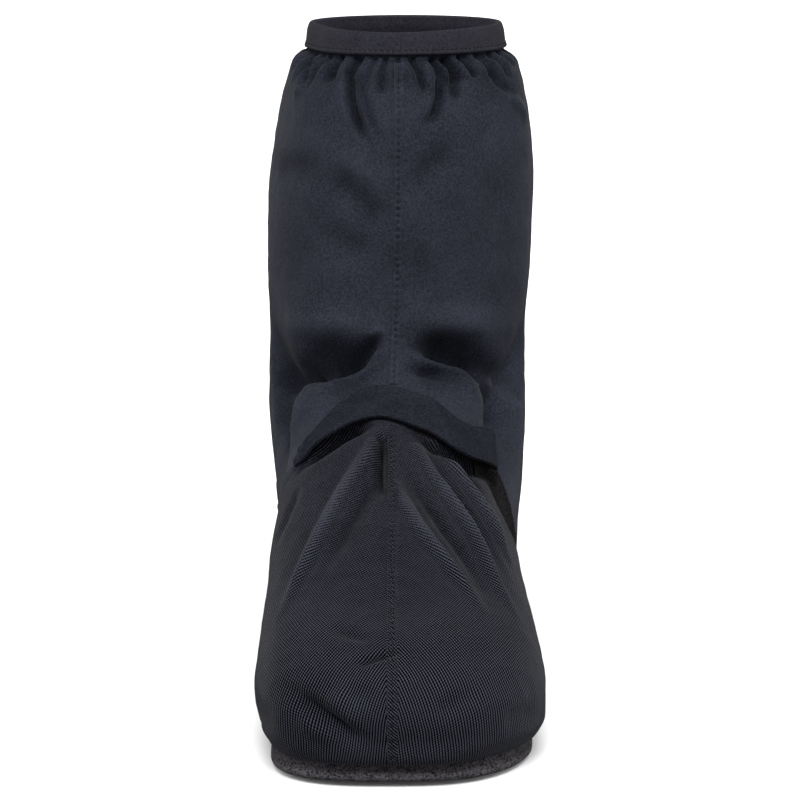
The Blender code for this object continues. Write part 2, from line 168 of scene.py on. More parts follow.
def last_points(height, share):
    """Points of the last at arrays of heights and shares."""
    height, share = np.broadcast_arrays(np.asarray(height, float), np.asarray(share, float))
    share = (share + 1) % 2 - 1
    level = {name: read_rows(SECTIONS, "height", name, height / COLLAR_TOP) for name in Section._fields}
    front = (level["front"] - 0.5) * LENGTH
    back = (level["back"] - 0.5) * LENGTH
    nose_depth = level["nose_depth"] * LENGTH
    heel_depth = level["heel_depth"] * LENGTH
    nose_width = np.where(share > 0, level["nose_outer"], level["nose_inner"]) * BALL_WIDTH / 2
    back_width = level["back_width"] * BALL_WIDTH / 2
    nose = np.pi / 2 * np.sqrt((nose_depth ** 2 + nose_width ** 2) / 2)
    heel = np.pi / 2 * np.sqrt((heel_depth ** 2 + back_width ** 2) / 2)
    side = back - front - nose_depth - heel_depth
    along = np.abs(share) * (nose + side + heel)

    nose_angle = np.pi / 2 * np.clip(along / nose, 0, 1)
    power = 2 / level["blunt"]
    nose_y = front + nose_depth * (1 - np.cos(nose_angle) ** power)
    nose_half = nose_width * np.sin(nose_angle) ** power
    t = np.clip((along - nose) / side, 0, 1)
    side_y = front + nose_depth + t * side
    drawn_in = 1 - level["waist"] * np.sin(np.pi * t) ** 2
    side_half = mix(nose_width, back_width, ease(t / level["flare"])) * drawn_in
    heel_angle = np.pi / 2 * np.clip((nose + side + heel - along) / heel, 0, 1)
    heel_y = back - heel_depth * (1 - np.cos(heel_angle))
    heel_half = back_width * np.sin(heel_angle)

    y = np.where(along < nose, nose_y, np.where(along < nose + side, side_y, heel_y))
    half_width = np.where(along < nose, nose_half, np.where(along < nose + side, side_half, heel_half))
    behind_nose = ease((y - front) / (NOSE_BLEND * nose_depth))
    middle_line = read_rows(MIDDLE_LINE, "y", "x", y) + level["middle_x"] * BALL_WIDTH
    middle = mix(level["seam_x"] * BALL_WIDTH, middle_line, behind_nose)
    x = middle + np.where(share < 0, -half_width, half_width)
    return np.stack([x, y, height + toe_lift(y, height)], axis=-1)


def laid_grid(name, points, material, relief=None, cut=None, aside=0.0):
    """A grid of faces with its corners at points, rows by columns, and their lengths along the cloth as UV,
    with the middle column at aside.

    The relief of its folds, from -1 to 1, is kept as an attribute for painted shade and highlight, and a
    column that the cloth is cut along is marked as a seam.
    """
    rows = points.shape[0] - 1
    columns = points.shape[1] - 1
    measures = cloth_measures(points) + (aside, 0.0)
    sheet = bmesh.new()
    bmesh.ops.create_grid(sheet, x_segments=columns, y_segments=rows, size=0.5)
    cloth = sheet.loops.layers.uv.new("cloth")
    folds = sheet.verts.layers.float.new("relief")
    if cut is not None:
        for edge in sheet.edges:
            edge.seam = all(round((corner.co.x + 0.5) * columns) == cut for corner in edge.verts)
    for corner in sheet.verts:
        column = round((corner.co.x + 0.5) * columns)
        row = round((corner.co.y + 0.5) * rows)
        corner.co = points[row, column]
        if relief is not None:
            corner[folds] = relief[row, column]
        for loop in corner.link_loops:
            loop[cloth].uv = measures[row, column]
    bmesh.ops.remove_doubles(sheet, verts=sheet.verts, dist=MERGE)
    return finished_piece(name, sheet, material)


def finished_piece(name, sheet, material):
    mesh = bpy.data.meshes.new(name)
    sheet.to_mesh(mesh)
    sheet.free()
    return shown_piece(name, mesh, material)


def shown_piece(name, mesh, material):
    mesh.shade_smooth()
    mesh.materials.append(material)
    piece = bpy.data.objects.new(name, mesh)
    bpy.context.scene.collection.objects.link(piece)
    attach(piece, "root")
    return piece


def lengths_between(points, axis):
    """Lengths along the rows or columns of a grid of points, from its first corner on."""
    steps = np.linalg.norm(np.diff(points, axis=axis), axis=2)
    start = np.zeros_like(np.take(steps, [0], axis=axis))
    return np.concatenate([start, np.cumsum(steps, axis=axis)], axis=axis)


def cloth_measures(points):
    """Lengths of cloth from the middle column, and up the middle column from the lowest row."""
    across = lengths_between(points, 1)
    middle = points.shape[1] // 2
    up = lengths_between(points, 0)[:, middle:middle + 1]
    return np.stack([across - across[:, middle:middle + 1], up + 0 * across], axis=2)


class Wire:
    """An output of a material's nodes. Sums with it add Math nodes, and node() adds any other kind."""

    def __init__(self, tree, socket=None):
        self.tree = tree
        self.socket = socket

    def node(self, kind, settings, inputs, output=0):
        made = self.tree.nodes.new("ShaderNode" + kind)
        for name, value in settings.items():
            setattr(made, name, value)
        for name, value in inputs.items():
            if isinstance(value, Wire):
                self.tree.links.new(value.socket, made.inputs[name])
            else:
                made.inputs[name].default_value = value
        return Wire(self.tree, made.outputs[output])

    def maths(self, operation, *values):
        return self.node("Math", {"operation": operation}, dict(enumerate(values)))

    def __add__(self, other):
        return self.maths("ADD", self, other)

    def __sub__(self, other):
        return self.maths("SUBTRACT", self, other)

    def __rsub__(self, other):
        return self.maths("SUBTRACT", other, self)

    def __mul__(self, other):
        return self.maths("MULTIPLY", self, other)

    __radd__ = __add__
    __rmul__ = __mul__

    def feeds(self, node, socket):
        self.tree.links.new(self.socket, node.inputs[socket])


def new_finish(name, constants):
    """A material with a Principled shader whose even values are set, and a wire to build the rest from."""
    material = bpy.data.materials.new(name)
    material.use_nodes = True
    shader = material.node_tree.nodes["Principled BSDF"]
    for socket, value in constants.items():
        shader.inputs[socket].default_value = value
    return material, shader, Wire(material.node_tree)


def speckle(wire, size, detail):
    """Noise from 0 to 1 with grains of about a size, in metres."""
    place = wire.node("TexCoord", {}, {}, "Object")
    return wire.node("TexNoise", {}, {"Vector": place, "Scale": 1 / size, "Detail": detail}, 0)


def blended(wire, factor, low, high):
    """A colour between two others."""
    return wire.node("Mix", {"data_type": "RGBA"}, {0: factor, 6: low, 7: high}, 2)


def surface(shader, colour, roughness, relief, strength, distance):
    """Feed a shader its colour and roughness, and its relief as a bump of a distance in metres."""
    colour.feeds(shader, "Base Color")
    roughness.feeds(shader, "Roughness")
    bump = relief.node("Bump", {}, {"Strength": strength, "Distance": distance, "Height": relief})
    bump.feeds(shader, "Normal")


def felted_rubber():
    material, shader, wire = new_finish("felted_rubber", {"Specular IOR Level": 0.02, "Sheen Weight": 0.02})
    blotches = speckle(wire, FELT_BLOTCH, 3.0)
    fuzz = speckle(wire, FELT_FUZZ, 2.0)
    tone = wire.maths("SMOOTH_MAX", (blotches * 0.5 + fuzz * 1.8 - 0.78) * 1.6, 0.0, 0.1)
    colour = blended(wire, tone, FELT_DARK, FELT_LIGHT)
    surface(shader, colour, fuzz * 0.15 + 0.80, fuzz + blotches * 0.5, 0.8, 0.0006)
    return material


def sole_points():
    shares = np.linspace(-1.0, 1.0, SOLE_COLUMNS + 1)
    hem = last_points(SOLE_RIM_TOP, shares)
    step = 0.003
    along = last_points(SOLE_RIM_TOP, shares + step) - last_points(SOLE_RIM_TOP, shares - step)
    outwards = unit(np.stack([along[:, 1], -along[:, 0], np.zeros(len(shares))], axis=1))
    at = np.linspace(0, len(SOLE_EDGE) - 1, SOLE_EDGE_ROWS)
    outs, heights = along_rows(SOLE_EDGE, at)
    rows = []
    for out, height, place in zip(outs, heights, at):
        ring = hem + outwards * out
        arch = ease((ring[:, 1] - ARCH_FRONT) / ARCH_EASE) * ease((ARCH_BACK - ring[:, 1]) / ARCH_EASE)
        under = ease(1 - height / SOLE_FLOOR_TOP) if place < len(SOLE_EDGE) / 2 else 0.0
        ring[:, 2] = height + toe_lift(ring[:, 1], SOLE_RIM_TOP) + ARCH_RISE * arch * under
        rows.append(ring)
    tread_middle = (rows[0] + rows[0][::-1]) / 2
    floor_middle = (rows[-1] + rows[-1][::-1]) / 2
    return np.array([tread_middle] + rows + [floor_middle])


points = sole_points()
sole = laid_grid("sole_felted", points, felted_rubber())
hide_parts("sole")


# Upper
# Shaft and foot in one wall of stretch cloth, sewn up the front and back, gathered under the collar, and
# slack where the shaft folds over the instep. Its inside has a plain dark coating.
UPPER_WALL = 0.0012
UPPER_TOP = 0.2770
BAND_BOTTOM = 0.2675
HEM = SOLE_RIM_TOP + 0.0003
UPPER_COLUMNS = 250
FRONT_CROWDING = 0.45
PANEL_TOP = 0.1225
UNDER_PANEL = 0.0008
UNDER_PANEL_ROUND = 0.03
UNDER_PANEL_UP = 0.004
NEARLY_BACK = 0.95
HALVINGS = 32

# Rings of the upper's mesh: each band runs from its height to the next with so many equal steps.
RingBand = namedtuple("RingBand", "height steps")
UPPER_RINGS = [
    RingBand(HEM, 44),
    RingBand(0.100, 56),
    RingBand(0.158, 42),
    RingBand(0.236, 40),
    RingBand(UPPER_TOP, 0),
]

# Hollows where the shaft folds over the instep: middle, reach round and up, and depth.
Hollow = namedtuple("Hollow", "share height round up depth")
HOLLOWS = [
    Hollow(-0.150, 0.1375, 0.120, 0.0095, 0.0065),
    Hollow(-0.380, 0.1180, 0.090, 0.0280, 0.0060),
    Hollow(0.170, 0.1385, 0.120, 0.0095, 0.0060),
    Hollow(0.330, 0.1220, 0.080, 0.0180, 0.0025),
]

# Back edge of the toe panel, seen from the side: height and y.
PanelEdge = namedtuple("PanelEdge", "height y")
PANEL_BACK = [
    PanelEdge(0.009, 0.008),
    PanelEdge(0.045, -0.004),
    PanelEdge(0.064, -0.0165),
    PanelEdge(0.100, -0.0165),
    PanelEdge(0.110, -0.0140),
    PanelEdge(PANEL_TOP, -0.0030),
]

# Folds of the cloth. depth is how far a trough sinks, or below zero how far a ridge stands up. width is half
# its width, and lean above zero makes it wider on the right hand of its course. begins is the share of its
# depth at its first place, and places are shares and heights along it.
Fold = namedtuple("Fold", "depth width lean begins places")
COLLAR_FOLDS = [
    Fold(0.0060, 0.0027, -0.4, 0.45, [
        (-0.16, 0.268), (-0.127, 0.257), (-0.105, 0.2455), (-0.085, 0.239), (-0.05, 0.229),
    ]),
    Fold(0.0024, 0.0019, -0.3, 0.5, [(-0.105, 0.266), (-0.085, 0.2545), (-0.055, 0.2415), (-0.025, 0.231)]),
    Fold(-0.0016, 0.0036, 0.0, 0.2, [(-0.16, 0.263), (-0.135, 0.251), (-0.11, 0.240)]),
    Fold(0.0048, 0.0036, 0.0, 0.4, [(-0.24, 0.266), (-0.21, 0.262), (-0.20, 0.256)]),
    Fold(0.0050, 0.0026, -0.3, 0.45, [
        (0.155, 0.268), (0.130, 0.258), (0.115, 0.250), (0.095, 0.244), (0.065, 0.239),
    ]),
    Fold(-0.0014, 0.0032, 0.0, 0.2, [(0.12, 0.264), (0.09, 0.255)]),
    Fold(0.0050, 0.0027, 0.0, 0.7, [(0.205, 0.266), (0.175, 0.257), (0.162, 0.2485)]),
    Fold(0.0028, 0.0030, 0.0, 0.8, [(0.27, 0.267), (0.235, 0.260)]),
    Fold(0.0036, 0.0034, 0.0, 0.8, [(0.34, 0.266), (0.31, 0.259), (0.33, 0.253), (0.37, 0.250)]),
    Fold(-0.0016, 0.0034, 0.0, 0.2, [(0.30, 0.258), (0.33, 0.251), (0.39, 0.242), (0.42, 0.234)]),
    Fold(0.0036, 0.0034, 0.0, 0.8, [(-0.40, 0.266), (-0.33, 0.259), (-0.32, 0.252)]),
    Fold(-0.0014, 0.0034, 0.0, 0.2, [(-0.31, 0.258), (-0.36, 0.248)]),
]
SHAFT_FOLDS = [
    Fold(0.0028, 0.0085, 0.0, 0.2, [(-0.19, 0.221), (-0.11, 0.214), (-0.05, 0.203), (-0.01, 0.187)]),
    Fold(0.0024, 0.0080, 0.0, 0.3, [(-0.40, 0.217), (-0.28, 0.219), (-0.18, 0.224)]),
    Fold(0.0020, 0.0075, 0.0, 0.2, [(0.15, 0.231), (0.08, 0.220), (0.04, 0.208)]),
    Fold(0.0016, 0.0075, 0.0, 0.2, [(-0.17, 0.192), (-0.10, 0.189), (-0.04, 0.182)]),
    Fold(0.0010, 0.0050, 0.0, 0.0, [(0.065, 0.192), (0.065, 0.176), (0.065, 0.160)]),
    Fold(0.0012, 0.0080, 0.0, 0.0, [(0.22, 0.222), (0.25, 0.205), (0.24, 0.190)]),
    Fold(-0.0014, 0.0080, 0.0, 0.0, [(-0.15, 0.229), (-0.08, 0.219), (-0.02, 0.203)]),
]
ANKLE_FOLDS = [
    Fold(0.0112, 0.0076, -0.60, 0.4, [
        (-0.42, 0.121), (-0.32, 0.1245), (-0.25, 0.1300), (-0.19, 0.1350),
        (-0.133, 0.1375), (-0.065, 0.1410), (-0.025, 0.146),
    ]),
    Fold(-0.0014, 0.0070, 0.0, 0.3, [(-0.34, 0.149), (-0.20, 0.153), (-0.10, 0.155), (-0.04, 0.154)]),
    Fold(0.0066, 0.0036, -0.4, 0.5, [(-0.15, 0.138), (-0.08, 0.1415), (-0.04, 0.146), (-0.008, 0.150)]),
    Fold(-0.0014, 0.0018, 0.0, 0.0, [(-0.055, 0.150), (-0.035, 0.152), (-0.015, 0.154)]),
    Fold(-0.0024, 0.0030, 0.0, 0.3, [
        (-0.20, 0.1275), (-0.133, 0.1335), (-0.077, 0.1362), (-0.045, 0.1392), (-0.02, 0.1427),
    ]),
    Fold(0.0090, 0.0070, 0.0, 0.8, [(-0.275, 0.1285), (-0.305, 0.120), (-0.335, 0.110), (-0.365, 0.098)]),
    Fold(-0.0022, 0.0045, 0.0, 0.2, [(-0.215, 0.1275), (-0.240, 0.121), (-0.258, 0.112), (-0.256, 0.103)]),
    Fold(0.0120, 0.0056, -0.55, 0.15, [
        (0.045, 0.1475), (0.09, 0.1445), (0.14, 0.1418), (0.20, 0.1388),
        (0.26, 0.132), (0.33, 0.1265), (0.44, 0.121),
    ]),
    Fold(-0.0012, 0.0070, 0.0, 0.2, [(0.07, 0.155), (0.14, 0.155), (0.24, 0.151), (0.36, 0.144)]),
    Fold(-0.0034, 0.0022, 0.0, 0.3, [
        (0.05, 0.1432), (0.09, 0.1405), (0.14, 0.1382), (0.18, 0.1362), (0.215, 0.1335),
    ]),
    Fold(0.0034, 0.0024, 0.0, 0.4, [(0.055, 0.1382), (0.095, 0.1364), (0.15, 0.1345)]),
    Fold(0.0050, 0.0088, 0.0, 0.9, [(0.26, 0.1310), (0.295, 0.1240), (0.33, 0.1150), (0.355, 0.106)]),
    Fold(-0.0020, 0.0040, 0.0, 0.0, [(0.37, 0.122), (0.41, 0.114), (0.44, 0.108)]),
]
TOE_FOLDS = [
    Fold(0.0068, 0.0040, 0.0, 0.2, [(-0.19, 0.1005), (-0.12, 0.1102), (-0.07, 0.1158), (-0.02, 0.1185)]),
    Fold(0.0044, 0.0036, 0.0, 0.2, [(0.06, 0.1150), (0.13, 0.1070), (0.20, 0.0988), (0.36, 0.0915)]),
    Fold(-0.0042, 0.0028, 0.2, 0.4, [(-0.03, 0.112), (-0.09, 0.092), (-0.13, 0.073), (-0.165, 0.057)]),
    Fold(0.0018, 0.0045, 0.0, 0.2, [(-0.02, 0.103), (-0.06, 0.088), (-0.10, 0.070)]),
    Fold(0.0046, 0.0034, 0.0, 0.6, [(-0.012, 0.113), (-0.012, 0.105), (-0.006, 0.094)]),
    Fold(-0.0016, 0.0030, 0.0, 0.3, [(-0.23, 0.100), (-0.29, 0.089), (-0.30, 0.079)]),
    Fold(0.0016, 0.0030, 0.0, 0.0, [(-0.18, 0.096), (-0.20, 0.086), (-0.23, 0.074)]),
    Fold(-0.0040, 0.0027, 0.0, 0.3, [(0.02, 0.099), (0.06, 0.087), (0.11, 0.072), (0.145, 0.056)]),
    Fold(-0.0040, 0.0027, 0.0, 0.4, [
        (0.07, 0.110), (0.12, 0.095), (0.16, 0.080), (0.175, 0.066), (0.20, 0.052),
    ]),
    Fold(-0.0040, 0.0027, 0.0, 0.4, [(0.11, 0.111), (0.17, 0.096), (0.21, 0.081), (0.25, 0.062)]),
    Fold(0.0020, 0.0035, 0.0, 0.2, [(0.04, 0.104), (0.09, 0.090), (0.135, 0.074), (0.155, 0.060)]),
    Fold(0.0020, 0.0035, 0.0, 0.2, [(0.09, 0.108), (0.145, 0.093), (0.18, 0.079), (0.205, 0.062)]),
    Fold(0.0020, 0.0032, 0.0, 0.2, [(0.15, 0.104), (0.20, 0.090), (0.24, 0.076)]),
    Fold(0.0030, 0.0050, 0.0, 0.3, [(0.27, 0.101), (0.31, 0.090), (0.345, 0.078), (0.38, 0.066)]),
    Fold(0.0018, 0.0080, 0.0, 0.0, [(-0.36, 0.092), (-0.33, 0.081), (-0.31, 0.070)]),
    Fold(0.0022, 0.0080, 0.0, 0.0, [(-0.25, 0.024), (-0.17, 0.024), (-0.11, 0.022)]),
    Fold(0.0022, 0.0060, 0.0, 0.2, [(-0.34, 0.013), (-0.24, 0.013), (-0.10, 0.013)]),
    Fold(0.0014, 0.0030, 0.0, 0.0, [(-0.07, 0.060), (-0.04, 0.0575), (-0.012, 0.0565)]),
    Fold(-0.0020, 0.0055, 0.0, 0.3, [(-0.09, 0.014), (0.0, 0.0135), (0.13, 0.014)]),
    Fold(0.0024, 0.0018, 0.0, 0.0, [(-0.03, 0.049), (-0.008, 0.0515), (0.02, 0.054)]),
    Fold(0.0052, 0.0038, 0.3, 0.3, [(-0.095, 0.039), (-0.06, 0.034), (-0.03, 0.027), (-0.005, 0.018)]),
    Fold(-0.0018, 0.0060, 0.0, 0.0, [(-0.05, 0.042), (-0.03, 0.036), (-0.005, 0.025)]),
    Fold(-0.0016, 0.0050, 0.0, 0.0, [(-0.09, 0.030), (-0.055, 0.025), (-0.02, 0.015)]),
    Fold(0.0012, 0.0050, 0.0, 0.0, [(-0.035, 0.041), (-0.02, 0.040), (-0.005, 0.037)]),
    Fold(0.0013, 0.0040, 0.0, 0.0, [(0.033, 0.031), (0.06, 0.036), (0.10, 0.039)]),
    Fold(0.0011, 0.0050, 0.0, 0.0, [(0.12, 0.025), (0.16, 0.026), (0.20, 0.027)]),
]
HIDDEN_FOLDS = [
    Fold(0.0030, 0.0050, 0.0, 0.0, [(-0.56, 0.134), (-0.74, 0.143), (-0.86, 0.141), (-0.95, 0.136)]),
    Fold(0.0022, 0.0042, 0.0, 0.0, [(-0.70, 0.122), (-0.84, 0.125), (-0.97, 0.121), (-1.06, 0.123)]),
    Fold(0.0030, 0.0050, 0.0, 0.0, [(0.54, 0.130), (0.70, 0.141), (0.83, 0.143), (0.93, 0.139)]),
    Fold(0.0020, 0.0040, 0.0, 0.0, [(0.66, 0.118), (0.78, 0.124), (0.90, 0.126)]),
    Fold(-0.0018, 0.0055, 0.0, 0.0, [(-0.60, 0.130), (-0.76, 0.133), (-0.92, 0.130)]),
    Fold(-0.0018, 0.0055, 0.0, 0.0, [(0.60, 0.126), (0.75, 0.133), (0.90, 0.134)]),
    Fold(0.0018, 0.0070, 0.0, 0.0, [(0.50, 0.205), (0.62, 0.196), (0.72, 0.180)]),
    Fold(0.0016, 0.0070, 0.0, 0.0, [(-0.48, 0.200), (-0.60, 0.190), (-0.70, 0.172)]),
    Fold(0.0016, 0.0060, 0.0, 0.0, [(0.80, 0.225), (0.88, 0.210), (0.93, 0.190)]),
    Fold(0.0016, 0.0060, 0.0, 0.0, [(-0.78, 0.222), (-0.86, 0.206), (-0.90, 0.188)]),
    Fold(0.0015, 0.0050, 0.0, 0.0, [(0.55, 0.090), (0.68, 0.078), (0.82, 0.072)]),
    Fold(0.0015, 0.0050, 0.0, 0.0, [(-0.56, 0.088), (-0.70, 0.074), (-0.84, 0.070)]),
]

# Gathers under the collar band, where the elastic draws the cloth in, in small pleats of uneven size.
GATHERS = 34
GATHER_SEED = 11
GATHER_DEPTH = (0.0018, 0.0044)
GATHER_WIDTH = (0.0015, 0.0028)
GATHER_LENGTH = (0.006, 0.018)
GATHER_CROOK = 0.012
GATHER_BEND = 0.3
GATHER_SPACING = (0.2, 0.8)
GATHER_START = 0.0005

SHOULDER = 0.8
FOLD_REACH = 3
COURSE_STEPS = 5
FOLD_RISES = 0.3
FOLD_ENDS = 0.4
BAND_GRIP = 0.0030
GATHER_GRIP = 0.0015
SWELL = 0.0011
SWELL_BELOW = 0.0035
SWELL_REACH = 0.0032
SLACK_SIZE = 0.030
SLACK = 0.0007
CRUMPLE_SIZE = 0.011
CRUMPLE = 0.00025
# Painted shade and highlight of the folds: the rise that gives them full strength. Then the painted shade in
# the gathers under the band: how strong it is, and how far down it reaches.
FULL_RELIEF = 0.0060
BAND_SHADE = 0.6
BAND_SHADE_REACH = 0.018
NAVY_DARK = (0.0050, 0.0056, 0.0084, 1.0)
NAVY_LIGHT = (0.0258, 0.0283, 0.0396, 1.0)
COATING_DARK = (0.003, 0.003, 0.004, 1.0)
COATING_LIGHT = (0.007, 0.007, 0.008, 1.0)
SHAFT_THREAD = 0.00052
SHAFT_SLUB = 0.0009
SHAFT_CLOUD = 0.0220
COATING_GRAIN = 0.0016
THREAD_DRIFT = 1.3
DRIFT_THREADS = 14


def gathers():
    draw = np.random.default_rng(GATHER_SEED)
    folds = []
    for k in range(GATHERS):
        share = -1 + 2 * (k + draw.uniform(*GATHER_SPACING)) / GATHERS
        length = draw.uniform(*GATHER_LENGTH)
        crook = draw.uniform(-GATHER_CROOK, GATHER_CROOK)
        top = BAND_BOTTOM + GATHER_START
        bend = (share + crook * GATHER_BEND, top - length / 2)
        places = [(share, top), bend, (share + crook, top - length)]
        folds.append(Fold(draw.uniform(*GATHER_DEPTH), draw.uniform(*GATHER_WIDTH), 0.0, 1.0, places))
    return folds


FOLDS = COLLAR_FOLDS + SHAFT_FOLDS + ANKLE_FOLDS + TOE_FOLDS + HIDDEN_FOLDS + gathers()


def last_normals(height, share):
    step_round = 0.004
    step_up = 0.001
    low = np.maximum(height - step_up, SOLE_RIM_TOP)
    high = np.minimum(height + step_up, COLLAR_TOP)
    sideways = last_points(height, share + step_round) - last_points(height, share - step_round)
    return unit(np.cross(sideways, last_points(high, share) - last_points(low, share)))


def fold_rise(points, fold):
    """How far a fold lifts each point of the last, fading out towards its ends."""
    count = len(fold.places)
    steps = np.linspace(0, count - 1, COURSE_STEPS * count)
    shares, heights = along_rows(fold.places, steps)
    line = last_points(heights, shares)
    facings = last_normals(heights, shares)
    reach = FOLD_REACH * fold.width * (1 + abs(fold.lean))
    near = np.all((points > line.min(axis=0) - reach) & (points < line.max(axis=0) + reach), axis=-1)
    close = points[near]
    nearest = np.full(len(close), np.inf)
    along = np.zeros(len(close))
    hand = np.zeros(len(close))
    for k, (start, end) in enumerate(zip(line, line[1:])):
        run = end - start
        t = np.clip((close - start) @ run / (run @ run), 0, 1)
        aside = close - start - t[:, None] * run
        distance = np.linalg.norm(aside, axis=1)
        closer = distance < nearest
        along[closer] = (k + t[closer]) / (len(line) - 1)
        nearest[closer] = distance[closer]
        hand[closer] = np.sign(aside[closer] @ np.cross(run, facings[k]))
    spread = (nearest / (fold.width * (1 + fold.lean * hand))) ** 2
    fade = mix(fold.begins, 1.0, ease(along / FOLD_RISES)) * ease((1 - along) / FOLD_ENDS)
    rise = np.zeros(points.shape[:-1])
    rise[near] = -fold.depth * (1 - SHOULDER * spread / 2) * np.exp(-spread) * fade
    return rise


def slack(points):
    """Low, uneven swelling of loose cloth."""
    places = [Vector(point) for point in points.reshape(-1, 3)]
    swells = np.array([noise.noise(place / SLACK_SIZE) for place in places])
    creases = np.array([1 - 2 * abs(noise.noise(place / CRUMPLE_SIZE)) for place in places])
    return (SLACK * swells + CRUMPLE * creases).reshape(points.shape[:-1])


def sunk(height, share):
    """How far the cloth sinks in at the hollows."""
    total = 0.0
    for hollow in HOLLOWS:
        sideways = (share - hollow.share) / hollow.round
        upwards = (height - hollow.height) / hollow.up
        total = total + hollow.depth * np.exp(-sideways ** 2 - upwards ** 2)
    return total


def cloth_rise(height, share):
    """How far the cloth stands out from the last, or below zero sinks in its troughs and hollows."""
    height, share = np.broadcast_arrays(np.asarray(height, float), np.asarray(share, float))
    points = last_points(height, share)
    rise = slack(points)
    for fold in FOLDS:
        rise += fold_rise(points, fold)
    rise += SWELL * np.exp(-((BAND_BOTTOM - SWELL_BELOW - height) / SWELL_REACH) ** 2)
    below_band = ease((BAND_BOTTOM - height) / BAND_GRIP)
    in_gathers = ease((BAND_BOTTOM + GATHER_GRIP - height) / GATHER_GRIP)
    rise *= np.where(rise > 0, below_band, in_gathers)
    return rise - sunk(height, share)


def raised_points(height, share, rise):
    return last_points(height, share) + last_normals(height, share) * rise[..., None]


def cloth_points(height, share, out=0.0):
    """Points of the cloth on the last with its hollows and folds, moved outwards by a distance."""
    return raised_points(height, share, cloth_rise(height, share) + out)


def relief_of(rise, height):
    """The folds of the cloth from -1 in its troughs to 1 on its ridges, less a painted shade in the gathers
    under the band.
    """
    # Painted shade: the cloth just under the band is darkened.
    band_shade = BAND_SHADE * np.exp(-((BAND_BOTTOM - height) / BAND_SHADE_REACH) ** 2)
    return np.clip(rise / FULL_RELIEF - band_shade, -1.0, 1.0)


def share_where(height, wanted, axis, low, high):
    """The shares between low and high where the last's x or y, axis 0 or 1, is as wanted at each height."""
    height, wanted = np.broadcast_arrays(np.asarray(height, float), np.asarray(wanted, float))
    low = np.full(height.shape, low)
    high = np.full(height.shape, high)
    rising = last_points(height, high)[..., axis] > last_points(height, low)[..., axis]
    for _ in range(HALVINGS):
        middle = (low + high) / 2
        short = (last_points(height, middle)[..., axis] < wanted) == rising
        low = np.where(short, middle, low)
        high = np.where(short, high, middle)
    return (low + high) / 2


def panel_reach(height):
    """How far back the toe panel goes at each height, as a share."""
    return share_where(height, read_rows(PANEL_BACK, "height", "y", height), 1, 0.0, NEARLY_BACK)


def ring_heights(bands):
    heights = []
    for band, following in zip(bands, bands[1:]):
        heights.extend(np.linspace(band.height, following.height, band.steps, endpoint=False))
    return np.array(heights + [bands[-1].height])


def thicken(piece, thickness, offset):
    """A wall: offset 1 grows it outwards from the laid grid, -1 inwards."""
    wall = piece.modifiers.new("wall", "SOLIDIFY")
    wall.thickness = thickness
    wall.offset = offset
    return wall


def plain_weave(wire, pitch, turn, pitch_up=None, slant=0.0):
    """A plain weave on the cloth's own lengths, mirrored at the seam: above zero where warp is on top.

    Threads lie pitch apart across and pitch_up apart upwards. With a slant they lie over to one side, so that
    lines aslant to them show more than the others.
    """
    laid = wire.node("UVMap", {"uv_map": "cloth"}, {})
    lengths = wire.node("VectorMath", {"operation": "ABSOLUTE"}, {0: laid})
    drift_scale = 1 / (DRIFT_THREADS * pitch)
    drift = wire.node("TexNoise", {}, {"Vector": lengths, "Scale": drift_scale, "Detail": 1.0}, 1)
    drift = wire.node("VectorMath", {"operation": "SCALE"}, {0: drift, "Scale": THREAD_DRIFT * pitch})
    drifted = wire.node("VectorMath", {"operation": "ADD"}, {0: lengths, 1: drift})
    scale = (np.pi / pitch, np.pi / (pitch_up or pitch), 1.0)
    turned = wire.node("Mapping", {}, {"Vector": drifted, "Rotation": (0, 0, turn), "Scale": scale})
    across = wire.node("SeparateXYZ", {}, {"Vector": turned}, "X")
    along = wire.node("SeparateXYZ", {}, {"Vector": turned}, "Y")
    weave = wire.maths("SINE", across) * wire.maths("SINE", along)
    if slant:
        weave = weave - wire.maths("COSINE", across + along) * slant
    return weave


def fold_shade_and_highlight(wire):
    """Relief of the folds, for painted shade in the troughs and under the band, and a painted highlight on
    the ridges.
    """
    return wire.node("Attribute", {"attribute_name": "relief"}, {}, "Fac")


def shaft_cloth():
    material, shader, wire = new_finish(
        "shaft_cloth", {"Specular IOR Level": 0.015, "Sheen Weight": 0.045, "Sheen Roughness": 0.35}
    )
    threads = plain_weave(wire, SHAFT_THREAD, 0.0)
    slubs = speckle(wire, SHAFT_SLUB, 3.0)
    clouds = speckle(wire, SHAFT_CLOUD, 3.0)
    # The fold relief paints shade into the troughs and under the band, and a highlight onto the ridges.
    tone = threads * 0.2 + slubs * 1.4 + clouds * 0.5 + fold_shade_and_highlight(wire) * 0.5 - 0.43
    colour = blended(wire, tone, NAVY_DARK, NAVY_LIGHT)
    relief = wire.maths("ABSOLUTE", threads) * 0.6 + slubs
    surface(shader, colour, slubs * 0.18 + 0.66, relief, 0.55, 0.0002)
    return material


def inside_coating():
    material, shader, wire = new_finish("inside_coating", {"Specular IOR Level": 0.08})
    grain = speckle(wire, COATING_GRAIN, 3.0)
    colour = blended(wire, grain, COATING_DARK, COATING_LIGHT)
    surface(shader, colour, grain * 0.2 + 0.70, grain, 0.4, 0.0002)
    return material


